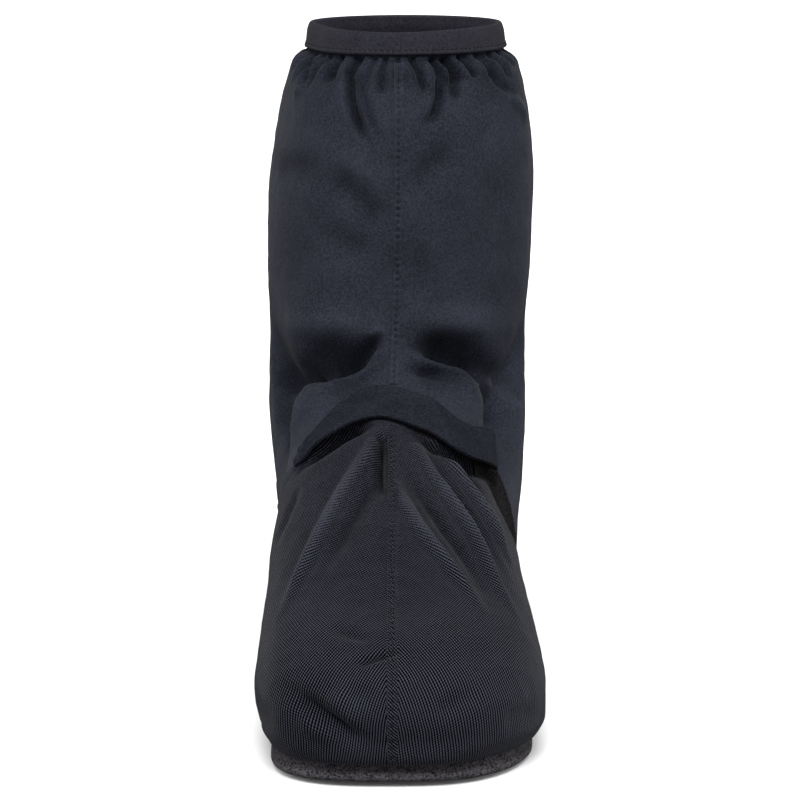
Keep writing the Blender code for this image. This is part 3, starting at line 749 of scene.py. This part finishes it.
heights = ring_heights(UPPER_RINGS)[:, None]
turns = np.linspace(-1.0, 1.0, UPPER_COLUMNS + 1)[None, :]
shares = turns * (1 - FRONT_CROWDING + FRONT_CROWDING * turns ** 2)
reach = panel_reach(np.minimum(heights, PANEL_TOP))
covered = ease((reach - np.abs(shares)) / UNDER_PANEL_ROUND)
covered = covered * ease((PANEL_TOP - heights) / UNDER_PANEL_UP) * ease((heights - HEM) / UNDER_PANEL_UP)
rise = cloth_rise(heights, shares)
points = raised_points(heights, shares, rise - UNDER_PANEL * covered)
shaft_finish = shaft_cloth()
upper = laid_grid("upper_cloth", points, shaft_finish, relief_of(rise, heights))
upper.data.materials.append(inside_coating())
wall = thicken(upper, UPPER_WALL, -1.0)
wall.material_offset = 1
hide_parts("upper")


# Toe panel
# A second layer over the toe and ball of the foot, of coarse plain-woven pack cloth with a dull coating. It
# is cut in two halves, sewn together along the toe, and stitched down along its back edge.
PANEL_BOTTOM = 0.0112
PANEL_GAP = 0.0006
PANEL_THICK = 0.0007
PANEL_COLUMNS = 220
PANEL_ROWS = 190
PANEL_HEM = 0.0030
PANEL_HEM_ROLL = 0.0005
PANEL_MIDDLE = 0.06
EVEN_SAMPLES = 3000
TOE_THREAD = 0.00068
TOE_THREAD_UP = 0.00084
TOE_TURN = -0.08
TOE_SLANT = 0.5
TOE_SLUB = 0.0009
TOE_CLOUD = 0.0250
# Heights where painted shade darkens the crown of the toe, and where the painted shade low on the inner side
# starts and is full.
CROWN_LOW = 0.028
CROWN = 0.055
CROWN_HIGH = 0.092
INNER_FROM = -0.018
INNER = -0.034
LOW_FROM = 0.052
LOW = 0.036
HALVES_APART = 0.10
PACK_DARK = (0.0005, 0.0006, 0.0009, 1.0)
PACK_LIGHT = (0.0310, 0.0325, 0.0425, 1.0)
PACK_BRIGHT = (0.0440, 0.0460, 0.0590, 1.0)


def run_along(points):
    """Lengths along a line of points, from its first one on."""
    return np.concatenate([[0.0], np.cumsum(np.linalg.norm(np.diff(points, axis=0), axis=1))])


def even_heights(low, high, share, count):
    """Heights between two others that lie at even lengths along the last."""
    fine = np.linspace(low, high, EVEN_SAMPLES)
    run = run_along(last_points(fine, share))
    return np.interp(np.linspace(0, run[-1], count), run, fine)


def between(wire, value, low, high):
    """A smooth step from 0 at one value to 1 at another."""
    ends = {"Value": value, "From Min": low, "From Max": high}
    return wire.node("MapRange", {"interpolation_type": "SMOOTHSTEP"}, ends)


def toe_cloth():
    """Coarse weave, with more contrast over the crown of the toe, where painted shade also darkens it, and
    painted shade low on the inner side.
    """
    material, shader, wire = new_finish(
        "toe_cloth", {"Specular IOR Level": 0.012, "Sheen Weight": 0.05, "Sheen Roughness": 0.3}
    )
    threads = plain_weave(wire, TOE_THREAD, TOE_TURN, TOE_THREAD_UP, TOE_SLANT)
    slubs = speckle(wire, TOE_SLUB, 2.0)
    clouds = speckle(wire, TOE_CLOUD, 3.0)
    place = wire.node("TexCoord", {}, {}, "Object")
    aside = wire.node("SeparateXYZ", {}, {"Vector": place}, "X")
    height = wire.node("SeparateXYZ", {}, {"Vector": place}, "Z")
    below = between(wire, height, CROWN_HIGH, CROWN)
    # Painted shade over the crown of the toe, with a brighter thread colour there for more weave contrast.
    crown = between(wire, height, CROWN_LOW, CROWN) * below
    # Painted shade low on the inner side of the toe.
    low_inside_shade = between(wire, aside, INNER_FROM, INNER) * between(wire, height, LOW_FROM, LOW)
    # The fold relief paints shade into the troughs and a highlight onto the ridges.
    tone = threads * (below * 1.4 + 0.4) + slubs * 1.2 + clouds * 0.3 + fold_shade_and_highlight(wire) * 0.6
    # Painted shade: the crown and the low inner side of the toe are darkened.
    tone = tone - crown * 0.78 - low_inside_shade * 0.45 - 0.46
    light = blended(wire, crown, PACK_LIGHT, PACK_BRIGHT)
    colour = blended(wire, tone, PACK_DARK, light)
    relief = wire.maths("ABSOLUTE", threads) + threads * 0.35 + slubs * 0.25
    surface(shader, colour, slubs * 0.15 + 0.65, relief, 0.5, 0.0003)
    return material


def lay_flat(piece):
    """Lay the halves of a piece flat, as they were cut, with the seam upright, as its UV in metres."""
    mesh = piece.data
    lengths = np.empty((len(mesh.loops), 2))
    mesh.uv_layers["cloth"].uv.foreach_get("vector", lengths.ravel())
    bpy.context.view_layer.objects.active = piece
    bpy.ops.object.mode_set(mode="EDIT")
    bpy.ops.mesh.select_all(action="SELECT")
    bpy.ops.uv.unwrap(method="MINIMUM_STRETCH", iterations=10)
    bpy.ops.object.mode_set(mode="OBJECT")
    flat = np.empty((len(mesh.loops), 2))
    mesh.uv_layers["cloth"].uv.foreach_get("vector", flat.ravel())
    corners = np.empty(len(mesh.loops), int)
    mesh.loops.foreach_get("vertex_index", corners)
    places = np.array([vertex.co[:] for vertex in mesh.vertices])[corners]
    left = np.repeat(lengths[:, 0].reshape(-1, 4).mean(axis=1) < 0, 4)
    for half, moved in ((left, -HALVES_APART), (~left, HALVES_APART)):
        laid = flat[half] @ (1, 1j)
        quads = places[half].reshape(-1, 4, 3)
        cut_lengths = np.linalg.norm(quads - np.roll(quads, 1, axis=1), axis=2).sum()
        laid_quads = laid.reshape(-1, 4)
        scale = cut_lengths / np.abs(laid_quads - np.roll(laid_quads, 1, axis=1)).sum()
        seam = np.abs(lengths[half][:, 0]) < MERGE
        low = laid[seam][np.argmin(lengths[half][seam][:, 1])]
        high = laid[seam][np.argmax(lengths[half][seam][:, 1])]
        laid = (laid - low) * scale * 1j * abs(high - low) / (high - low)
        flat[half] = np.stack([laid.real + moved, laid.imag], axis=1)
    mesh.uv_layers["cloth"].uv.foreach_set("vector", flat.ravel())


heights = even_heights(PANEL_BOTTOM, PANEL_TOP, PANEL_MIDDLE, PANEL_ROWS + 1)[:, None]
turns = np.linspace(-1.0, 1.0, PANEL_COLUMNS + 1)[None, :]
shares = turns * panel_reach(heights)
rolled = np.exp(-((heights - PANEL_BOTTOM) / PANEL_HEM) ** 2) * PANEL_HEM_ROLL
rise = cloth_rise(heights, shares)
points = raised_points(heights, shares, rise + PANEL_GAP + rolled)
toe_finish = toe_cloth()
seam_column = PANEL_COLUMNS // 2
toe_panel = laid_grid("toe_panel_cloth", points, toe_finish, relief_of(rise, heights), seam_column)
lay_flat(toe_panel)
thicken(toe_panel, PANEL_THICK, 1.0)
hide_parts("toe_panel")


# Seams
# The halves of shaft and toe are sewn together and their allowance is topstitched down to the outer side,
# which makes a low strip beside the seam line. The stitches are twisted thread, pulled into the cloth.
GAP = 0.0004
ON_PANEL = PANEL_GAP + PANEL_THICK + GAP
SEAM_WIDTH = 0.0055
SEAM_THICK = 0.0006
SEAM_COLUMNS = 14
SEAM_STEP = 0.0006
SEAM_CROWDING = 1.3
SEAM_SAMPLES = 400
SEAM_FOLD = 0.0005
SEAM_FLAT = 0.0024
SEAM_SINK = 0.0003
SEAM_END_CLEAR = 0.0015
SEAM_ABOVE_SOLE = 0.004
SEAM_SEARCH = 0.1
STITCH_PITCH = 0.0031
STITCH_LENGTH = 0.0021
STITCH_THICK = 0.00052
STITCH_ASIDE = 0.0021
STITCH_STANDS = 0.15
PUCKER = 0.0007
PUCKER_SIZE = 0.0009
STRAP_TOP = 0.1310
STRAP_ARCH = 0.1192
THREAD_TWIST = 0.0005
THREAD_DARK = (0.0020, 0.0022, 0.0030, 1.0)
THREAD_LIGHT = (0.0080, 0.0086, 0.0115, 1.0)


def sewing_thread(name, dark, light):
    material, shader, wire = new_finish(name, {"Specular IOR Level": 0.10})
    twist = speckle(wire, THREAD_TWIST, 1.0)
    blended(wire, twist, dark, light).feeds(shader, "Base Color")
    (twist * 0.2 + 0.55).feeds(shader, "Roughness")
    return material


thread_finish = sewing_thread("sewing_thread", THREAD_DARK, THREAD_LIGHT)


def many_copies(name, template, places, material):
    """One mesh of a small shape's copies, each at its own place, a 3 x 4 matrix."""
    template.verts.index_update()
    corners = np.array([corner.co[:] for corner in template.verts])
    faces = [[corner.index for corner in face.verts] for face in template.faces]
    template.free()
    spots = np.einsum("kij,nj->kni", places[:, :, :3], corners) + places[:, None, :, 3]
    copies = [[i + k * len(corners) for i in face] for k in range(len(places)) for face in faces]
    mesh = bpy.data.meshes.new(name)
    mesh.from_pydata(spots.reshape(-1, 3).tolist(), [], copies)
    return shown_piece(name, mesh, material)


def joined_places(first, second, third, middles, sizes):
    """Places from three directions, a middle and a size for each copy."""
    turned = np.stack([first, second, third], axis=2) * np.asarray(sizes)[:, None, None]
    return np.concatenate([turned, middles[:, :, None]], axis=2)


def stitch_bar():
    """One stitch: a slim bar of thread with rounded ends, of length and thickness 1."""
    sheet = bmesh.new()
    lying = Matrix.Rotation(np.pi / 2, 4, "Y")
    bmesh.ops.create_uvsphere(sheet, u_segments=6, v_segments=5, radius=0.5, matrix=lying)
    return sheet


def bars_between(starts, ends, outwards, thick):
    """Places of stitches from hole to hole, half sunk into the cloth."""
    along = ends - starts
    side = unit(np.cross(outwards, along))
    up = unit(np.cross(along, side))
    middles = (starts + ends) / 2 + up * thick * STITCH_STANDS
    return joined_places(along, side * thick, up * thick, middles, np.ones(len(along)))


def stitch_places(points, outwards, pitch, length, thick):
    """Places of stitches at an even pitch along a line of points on the cloth."""
    run = run_along(points)
    starts = (np.arange(int(run[-1] / pitch)) + 0.5) * pitch - length / 2

    def at(values, distances):
        return np.stack([np.interp(distances, run, values[:, axis]) for axis in range(3)], axis=1)

    return bars_between(at(points, starts), at(points, starts + length), at(outwards, starts), thick)


def seam_strip(name, node, low, high, at_back, ground, material):
    """The strip beside a seam, laid on its ground with a dip at each needle hole, and its row of stitches."""
    seam_share = 1.0 if at_back else 0.0
    aside = -1.0 if at_back else 1.0
    length = run_along(last_points(np.linspace(low, high, SEAM_SAMPLES), seam_share))[-1]
    heights = even_heights(low, high, seam_share, int(length / SEAM_STEP))[:, None]
    seam_x = last_points(heights, seam_share)[..., 0]
    across = np.linspace(0, 1, SEAM_COLUMNS + 1)[None, :] ** SEAM_CROWDING * SEAM_WIDTH
    search = (seam_share - SEAM_SEARCH, seam_share + SEAM_SEARCH)
    shares = share_where(heights + 0 * across, seam_x + aside * across, 0, *search)
    crown = ease(across / SEAM_FOLD) * (1 - ease((across - SEAM_FLAT) / (SEAM_WIDTH - SEAM_FLAT)))
    along = np.linspace(0, length, len(heights))[:, None]
    hole = np.cos(np.pi * along / STITCH_PITCH) ** 2
    dip = PUCKER * hole ** 3 * np.exp(-((across - STITCH_ASIDE) / PUCKER_SIZE) ** 2)
    out = ground - SEAM_SINK + crown * (SEAM_SINK + GAP / 2 + SEAM_THICK) - dip
    points = cloth_points(heights, shares, out)
    strip = laid_grid(name, points, material, aside=SEAM_WIDTH)
    thicken(strip, SEAM_THICK / 2, -1.0)
    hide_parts(node)
    beside = np.argmin(np.abs(across[0] - STITCH_ASIDE))
    outwards = last_normals(heights[:, 0], shares[:, beside])
    places = stitch_places(points[:, beside], outwards, STITCH_PITCH, STITCH_LENGTH, STITCH_THICK)
    stitches = many_copies(name + "_stitches", stitch_bar(), places, thread_finish)


shaft_top = BAND_BOTTOM - SEAM_END_CLEAR
shaft_low = STRAP_TOP + SEAM_END_CLEAR
seam_strip("shaft_seam", "shaft_front_seam", shaft_low, shaft_top, False, 0.0, shaft_finish)
back_low = SOLE_RIM_TOP + SEAM_ABOVE_SOLE
seam_strip("back_seam", "shaft_back_seam", back_low, shaft_top, True, 0.0, shaft_finish)
toe_low = PANEL_BOTTOM + SEAM_END_CLEAR
toe_top = STRAP_ARCH - SEAM_END_CLEAR
panel_face = PANEL_GAP + PANEL_THICK
seam_strip("toe_panel_seam", "toe_seam", toe_low, toe_top, False, panel_face, toe_finish)


# Loop pad
# The loop half of the strap's fastener: a woven tape with a pile of small nylon loops, sewn flat on the outer
# side of the upper where the strap's end comes down.
PAD_GAP = 0.0008
PAD_THICK = 0.0010
PAD_TOP = 0.105
PAD_TOP_FRONT = -0.0155
PAD_TOP_BACK = 0.0190
PAD_BOTTOM = 0.066
PAD_BOTTOM_FRONT = -0.0150
PAD_BOTTOM_BACK = -0.0105
PAD_COLUMNS = 31
PAD_ROWS = 45
PAD_TAPE = 0.6
LOOPS_STREWN = 2200
LOOP_ROOT = 0.55
LOOP_SIZES = (0.7, 1.2)
LOOP_SIZE = 0.0007
LOOP_THICK = 0.00013
LOOP_SEED = 5
PAD_SELVEDGE = 0.04
PILE_FUZZ = 0.0009
PILE_DARK = (0.0022, 0.0020, 0.0023, 1.0)
PILE_LIGHT = (0.0135, 0.0124, 0.0135, 1.0)


def loop_pile():
    material, shader, wire = new_finish("loop_pile", {"Specular IOR Level": 0.05})
    fuzz = speckle(wire, PILE_FUZZ, 2.0)
    colour = blended(wire, fuzz, PILE_DARK, PILE_LIGHT)
    surface(shader, colour, fuzz * 0.1 + 0.85, fuzz, 0.8, 0.0004)
    return material


def pad_spots(u, v):
    """Heights and shares on the pad, u from its front edge to its back edge and v from its lower end up."""
    heights = mix(PAD_BOTTOM, PAD_TOP, v)
    front = mix(PAD_BOTTOM_FRONT, PAD_TOP_FRONT, v)
    back = mix(PAD_BOTTOM_BACK, PAD_TOP_BACK, v)
    return heights, share_where(heights, mix(front, back, u), 1, 0.0, NEARLY_BACK)


heights, shares = pad_spots(*np.meshgrid(np.linspace(0, 1, PAD_COLUMNS), np.linspace(0, 1, PAD_ROWS)))
points = cloth_points(heights, shares, PAD_GAP)
pile_finish = loop_pile()
pad = laid_grid("loop_pad_tape", points, pile_finish)
thicken(pad, PAD_THICK * PAD_TAPE, 1.0)
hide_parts("strap_loop_pad")


def pile_loop():
    """One loop of the pile: half a ring of thread standing on its ends."""
    sheet = bmesh.new()
    section = bmesh.ops.create_circle(sheet, segments=3, radius=LOOP_THICK)["verts"]
    bmesh.ops.translate(sheet, verts=section, vec=(LOOP_SIZE / 2, 0, 0))
    bmesh.ops.spin(sheet, geom=sheet.verts[:] + sheet.edges[:], axis=(0, 1, 0), angle=-np.pi, steps=5)
    bmesh.ops.recalc_face_normals(sheet, faces=sheet.faces)
    return sheet


def standing_places(roots, facings, turns, sizes):
    """Places of small shapes that stand on the cloth, each turned about its own facing."""
    across = unit(np.cross(facings, (0.0, 0.0, 1.0)))
    up = np.cross(facings, across)
    first = across * np.cos(turns)[:, None] + up * np.sin(turns)[:, None]
    return joined_places(first, np.cross(facings, first), facings, roots, sizes)


draw = np.random.default_rng(LOOP_SEED)
widths = (PAD_BOTTOM_BACK - PAD_BOTTOM_FRONT, PAD_TOP_BACK - PAD_TOP_FRONT)
strewn = draw.uniform(PAD_SELVEDGE, 1 - PAD_SELVEDGE, (LOOPS_STREWN, 2))
kept = draw.uniform(0, widths[1], LOOPS_STREWN) < mix(*widths, strewn[:, 1])
heights, shares = pad_spots(*strewn[kept].T)
roots = cloth_points(heights, shares, PAD_GAP + PAD_THICK * LOOP_ROOT)
facings = last_normals(heights, shares)
turns = draw.uniform(0, np.pi, len(roots))
places = standing_places(roots, facings, turns, draw.uniform(*LOOP_SIZES, len(roots)))
loops = many_copies("loop_pad_pile", pile_loop(), places, pile_finish)


# Strap
# A woven tape over the instep that pulls the shaft to the foot. Its inner end is sewn down with a zigzag
# tack, its outer end carries the hook half of the fastener and is pressed on the loop pad.
STRAP_THICK = 0.0016
STRAP_COLUMNS = 150
STRAP_ROWS = 18
STRAP_ROUNDING = 0.0004
STRAP_SEWN = 0.06
STRAP_FREE_FROM = 0.20
STRAP_FREE_TO = 0.26
STRAP_LIES = 0.0008
STRAP_OVER_BACK = 0.02
STRAP_OVER_TOP = 0.003
STRAP_THREAD = 0.00062
STRAP_STITCH_PITCH = 0.0026
STRAP_STITCH_LENGTH = 0.0017
STRAP_STITCH_THICK = 0.00036
STRAP_EDGE_ROWS = (0.10, 0.90)
STRAP_EDGE_CLEAR = 0.01
STRAP_EDGE_SAMPLES = 300
STRAP_END_ROWS = (0.012, 0.075)
STRAP_END_CLEAR = 0.12
STRAP_END_SAMPLES = 60
TACK_TURNS = 9
TACK_START = 0.006
TACK_WIDTH = 0.014
TACK_CLEAR = 0.06
TAPE_SLUB = 0.0012
TAPE_CLOUD = 0.0150
TAPE_DARK = (0.0022, 0.0026, 0.0040, 1.0)
TAPE_LIGHT = (0.0215, 0.0237, 0.0325, 1.0)
STRAP_THREAD_DARK = (0.0060, 0.0066, 0.0090, 1.0)
STRAP_THREAD_LIGHT = (0.0170, 0.0185, 0.0250, 1.0)

# From the inner to the outer end: share, heights of the lower and upper edge, and how far it bridges what is
# below.
StrapRow = namedtuple("StrapRow", "share lower upper lift")
STRAP = [
    StrapRow(-0.200, 0.1005, 0.1065, 0.0),
    StrapRow(-0.110, 0.1118, 0.1215, 0.0020),
    StrapRow(-0.060, 0.1172, 0.1300, 0.0010),
    StrapRow(-0.020, STRAP_ARCH, STRAP_TOP, 0.0),
    StrapRow(0.080, 0.1140, 0.1272, 0.0015),
    StrapRow(0.180, 0.1010, 0.1155, 0.0040),
    StrapRow(0.260, 0.0965, 0.1090, 0.0020),
    StrapRow(0.330, 0.0940, 0.1045, 0.0),
]


def strap_tape():
    material, shader, wire = new_finish("strap_tape", {"Specular IOR Level": 0.015})
    threads = plain_weave(wire, STRAP_THREAD, 0.0)
    slubs = speckle(wire, TAPE_SLUB, 3.0)
    clouds = speckle(wire, TAPE_CLOUD, 2.0)
    tone = threads * 0.40 + slubs * 1.2 + clouds * 0.4 - 0.4
    colour = blended(wire, tone, TAPE_DARK, TAPE_LIGHT)
    relief = wire.maths("ABSOLUTE", threads) + slubs * 0.6
    surface(shader, colour, slubs * 0.15 + 0.62, relief, 0.7, 0.00025)
    return material


def strap_places(share, across, out):
    """Points and normals at shares along the strap and parts of its width, out above its underside.

    Its upper edge and its sewn end lie on the cloth, and the rest of it bridges the folds below.
    """
    share, across = np.broadcast_arrays(np.asarray(share, float), np.asarray(across, float))
    lower, upper, lift = (read_rows(STRAP, "share", column, share) for column in ("lower", "upper", "lift"))
    height = mix(lower, upper, across)
    on_panel = ON_PANEL + SEAM_THICK + GAP
    on_pad = PAD_GAP + PAD_THICK + GAP
    bridging = mix(on_panel, on_pad, ease(share / STRAP[-1].share)) + lift - sunk(height, share)
    reach = panel_reach(np.minimum(height, PANEL_TOP))
    before_back = ease((reach + STRAP_OVER_BACK - np.abs(share)) / STRAP_OVER_BACK)
    on_top = before_back * ease((PANEL_TOP + STRAP_OVER_TOP - height) / STRAP_OVER_TOP)
    lying = cloth_rise(height, share) + STRAP_LIES + ON_PANEL * on_top
    loose = (1 - ease(across)) * ease((share - STRAP[0].share) / STRAP_SEWN)
    loose = mix(loose, 1.0, ease((share - STRAP_FREE_FROM) / (STRAP_FREE_TO - STRAP_FREE_FROM)))
    clear = np.maximum(mix(lying, bridging, loose), lying)
    return raised_points(height, share, clear + out), last_normals(height, share)


shares = np.linspace(STRAP[0].share, STRAP[-1].share, STRAP_COLUMNS + 1)[None, :]
across = np.linspace(0.0, 1.0, STRAP_ROWS + 1)[:, None]
points, normals = strap_places(shares, across, 0.0)
strap = laid_grid("strap_tape", points, strap_tape())
thicken(strap, STRAP_THICK, 1.0)
rounding = strap.modifiers.new("rounding", "BEVEL")
rounding.width = STRAP_ROUNDING
rounding.segments = 2
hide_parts("instep_strap")

strap_rows = []
edge_ends = (STRAP[0].share + STRAP_EDGE_CLEAR, STRAP[-1].share - STRAP_EDGE_CLEAR)
for across in STRAP_EDGE_ROWS:
    strap_rows.append((np.linspace(*edge_ends, STRAP_EDGE_SAMPLES), np.full(STRAP_EDGE_SAMPLES, across)))
for before_end in STRAP_END_ROWS:
    across = np.linspace(STRAP_END_CLEAR, 1 - STRAP_END_CLEAR, STRAP_END_SAMPLES)
    strap_rows.append((np.full(STRAP_END_SAMPLES, STRAP[-1].share - before_end), across))
places = []
for shares, across in strap_rows:
    points, normals = strap_places(shares, across, STRAP_THICK)
    places.append(stitch_places(points, normals, STRAP_STITCH_PITCH, STRAP_STITCH_LENGTH, STRAP_STITCH_THICK))
zigzag = np.arange(2 * TACK_TURNS + 1)
shares = STRAP[0].share + TACK_START + TACK_WIDTH * (zigzag % 2)
across = mix(TACK_CLEAR, 1 - TACK_CLEAR, zigzag / zigzag[-1])
points, normals = strap_places(shares, across, STRAP_THICK)
places.append(bars_between(points[:-1], points[1:], normals[:-1], STRAP_STITCH_THICK))
strap_thread = sewing_thread("strap_thread", STRAP_THREAD_DARK, STRAP_THREAD_LIGHT)
strap_stitches = many_copies("strap_stitches", stitch_bar(), np.concatenate(places), strap_thread)


# Collar band
# A soft elastic tape folded over the top edge of the shaft and sewn through along its lower edge, where it
# makes a narrow lip over the gathers.
BAND_THICK = 0.0013
BAND_COLUMNS = 260
BAND_ROWS = 52
LIP_HEIGHT = 0.0011
LIP_ROLL = 0.00012
BAND_SHOULDER = 0.0030
BAND_WAVE = 0.0004
BAND_WAVE_SIZE = 0.012
BAND_WAVE_FADE = 0.008
BAND_STITCH_ABOVE = 0.0021
BAND_STITCH_SINK = 0.4 * LIP_ROLL
BAND_STITCH_SAMPLES = 900
BAND_NARROWS = 0.15
BAND_NARROW_REACH = 0.30
BAND_RIB = 0.0011
ELASTIC_FUZZ = 0.0010
ELASTIC_CLOUD = 0.0160
ELASTIC_DARK = (0.0075, 0.0073, 0.0100, 1.0)
ELASTIC_LIGHT = (0.0225, 0.0220, 0.0290, 1.0)


def collar_elastic():
    material, shader, wire = new_finish("collar_elastic", {"Specular IOR Level": 0.02, "Sheen Weight": 0.02})
    lengths = wire.node("UVMap", {"uv_map": "cloth"}, {})
    across = wire.node("SeparateXYZ", {}, {"Vector": lengths}, "X")
    ribs = wire.maths("SINE", across * (2 * np.pi / BAND_RIB))
    fuzz = speckle(wire, ELASTIC_FUZZ, 3.0)
    clouds = speckle(wire, ELASTIC_CLOUD, 2.0)
    tone = ribs * 0.12 + fuzz * 1.6 + clouds * 0.4 - 0.55
    colour = blended(wire, tone, ELASTIC_DARK, ELASTIC_LIGHT)
    surface(shader, colour, fuzz * 0.15 + 0.75, ribs * 0.3 + fuzz, 0.5, 0.0002)
    return material


def band_profile():
    """Outs and heights along the folded tape, from its outer lower edge over the top and back inside."""
    outside = GAP + BAND_THICK
    inside = -(UPPER_WALL + GAP + BAND_THICK)
    slot_inside = -(UPPER_WALL + GAP)
    face = outside - 2 * LIP_ROLL
    shoulder = UPPER_TOP - BAND_SHOULDER
    corners = [
        (GAP, BAND_BOTTOM),
        (outside * 0.8, BAND_BOTTOM),
        (outside + LIP_ROLL, BAND_BOTTOM + LIP_HEIGHT),
        (face, BAND_BOTTOM + 2 * LIP_HEIGHT),
        (face, shoulder),
        (outside * 0.5, UPPER_TOP + 0.0006),
        (outside * 0.1, COLLAR_TOP - 0.0002),
        (mix(outside, inside, 0.5), COLLAR_TOP),
        (inside * 0.62, COLLAR_TOP - 0.0003),
        (inside * 0.80, UPPER_TOP),
        (inside, shoulder),
        (inside, BAND_BOTTOM),
        (slot_inside, BAND_BOTTOM),
        (slot_inside, UPPER_TOP + GAP),
        (GAP, UPPER_TOP + GAP),
        (GAP, BAND_BOTTOM),
    ]
    return along_rows(corners, np.linspace(0, len(corners) - 1, BAND_ROWS + 1))


def narrowed(height, share):
    """Heights on the band, which is narrower at the front."""
    front = np.exp(-((share / BAND_NARROW_REACH) ** 2))
    return COLLAR_TOP - (COLLAR_TOP - height) * (1 - BAND_NARROWS * front)


outs, heights = band_profile()
shares = np.linspace(-1.0, 1.0, BAND_COLUMNS + 1)[None, :]
ring = last_points(BAND_BOTTOM, shares)
wave = BAND_WAVE * np.array([noise.noise(Vector(point) / BAND_WAVE_SIZE) for point in ring[0]])[None, :]
heights = narrowed(heights[:, None], shares)
outs = outs[:, None]
lifted = outs + wave * ease((UPPER_TOP - heights) / BAND_WAVE_FADE) * (outs > GAP)
points = raised_points(heights, shares, lifted)
band = laid_grid("collar_band_elastic", points, collar_elastic())
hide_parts("collar_band")

shares = np.linspace(-1.0, 1.0, BAND_STITCH_SAMPLES)
height = narrowed(BAND_BOTTOM + BAND_STITCH_ABOVE, shares)
normals = last_normals(height, shares)
points = last_points(height, shares) + normals * (GAP + BAND_THICK - BAND_STITCH_SINK)
places = stitch_places(points, normals, STRAP_STITCH_PITCH, STRAP_STITCH_LENGTH, STRAP_STITCH_THICK)
band_stitches = many_copies("collar_band_stitches", stitch_bar(), places, thread_finish)


# Studio
# A white sweep that runs out of the picture, a large soft light high in front and one on each side, and the
# camera a little above the shoe, looking along it from the toe.
FLOOR_HALF = 8.0
FLOOR_BELOW = 0.0003
FLOOR_PALE = (0.80, 0.80, 0.80, 1.0)
WORLD_GLOW = 0.5
CAMERA_PLACE = Vector((0.0, -1.372, 0.419))
CAMERA_AIM = Vector((0.0, 0.0, 0.1262))
CAMERA_LENS = 147.4
SENSOR = 36.0

# Each light is a wide, far softbox: where it stands round the shoe from the toe, how high, how bright and how
# wide.
Softbox = namedtuple("Softbox", "name azimuth elevation strength spread")
SOFTBOXES = [
    Softbox("key_front", 0.0, 51.0, 4.5, 30.0),
    Softbox("side_inner", -75.0, 25.0, 1.8, 50.0),
    Softbox("side_outer", 75.0, 25.0, 1.7, 50.0),
]


def sweep_paper():
    even = {"Base Color": FLOOR_PALE, "Specular IOR Level": 0.1, "Roughness": 0.9}
    return new_finish("sweep_paper", even)[0]


sheet = bmesh.new()
bmesh.ops.create_grid(sheet, x_segments=1, y_segments=1, size=FLOOR_HALF)
bmesh.ops.translate(sheet, verts=sheet.verts, vec=(0, 0, -FLOOR_BELOW))
mesh = bpy.data.meshes.new("floor")
sheet.to_mesh(mesh)
sheet.free()
mesh.materials.append(sweep_paper())
floor = bpy.data.objects.new("floor", mesh)
bpy.context.scene.collection.objects.link(floor)
floor.visible_diffuse = False
floor.visible_glossy = False

for box in SOFTBOXES:
    lamp = bpy.data.lights.new(box.name, "SUN")
    lamp.energy = box.strength
    lamp.angle = np.radians(box.spread)
    lamp_object = bpy.data.objects.new(box.name, lamp)
    lamp_object.rotation_euler = (np.radians(90 - box.elevation), 0.0, np.radians(box.azimuth))
    bpy.context.scene.collection.objects.link(lamp_object)

world = bpy.data.worlds.new("studio")
world.use_nodes = True
world.node_tree.nodes["Background"].inputs["Color"].default_value = (1.0, 1.0, 1.0, 1.0)
world.node_tree.nodes["Background"].inputs["Strength"].default_value = WORLD_GLOW
bpy.context.scene.world = world
bpy.context.scene.view_settings.view_transform = "Standard"

camera_data = bpy.data.cameras.new("camera")
camera_data.lens = CAMERA_LENS
camera_data.sensor_width = SENSOR
camera = bpy.data.objects.new("camera", camera_data)
camera.location = CAMERA_PLACE
camera.rotation_euler = (CAMERA_AIM - CAMERA_PLACE).to_track_quat("-Z", "Y").to_euler()
bpy.context.scene.collection.objects.link(camera)
bpy.context.scene.camera = camera
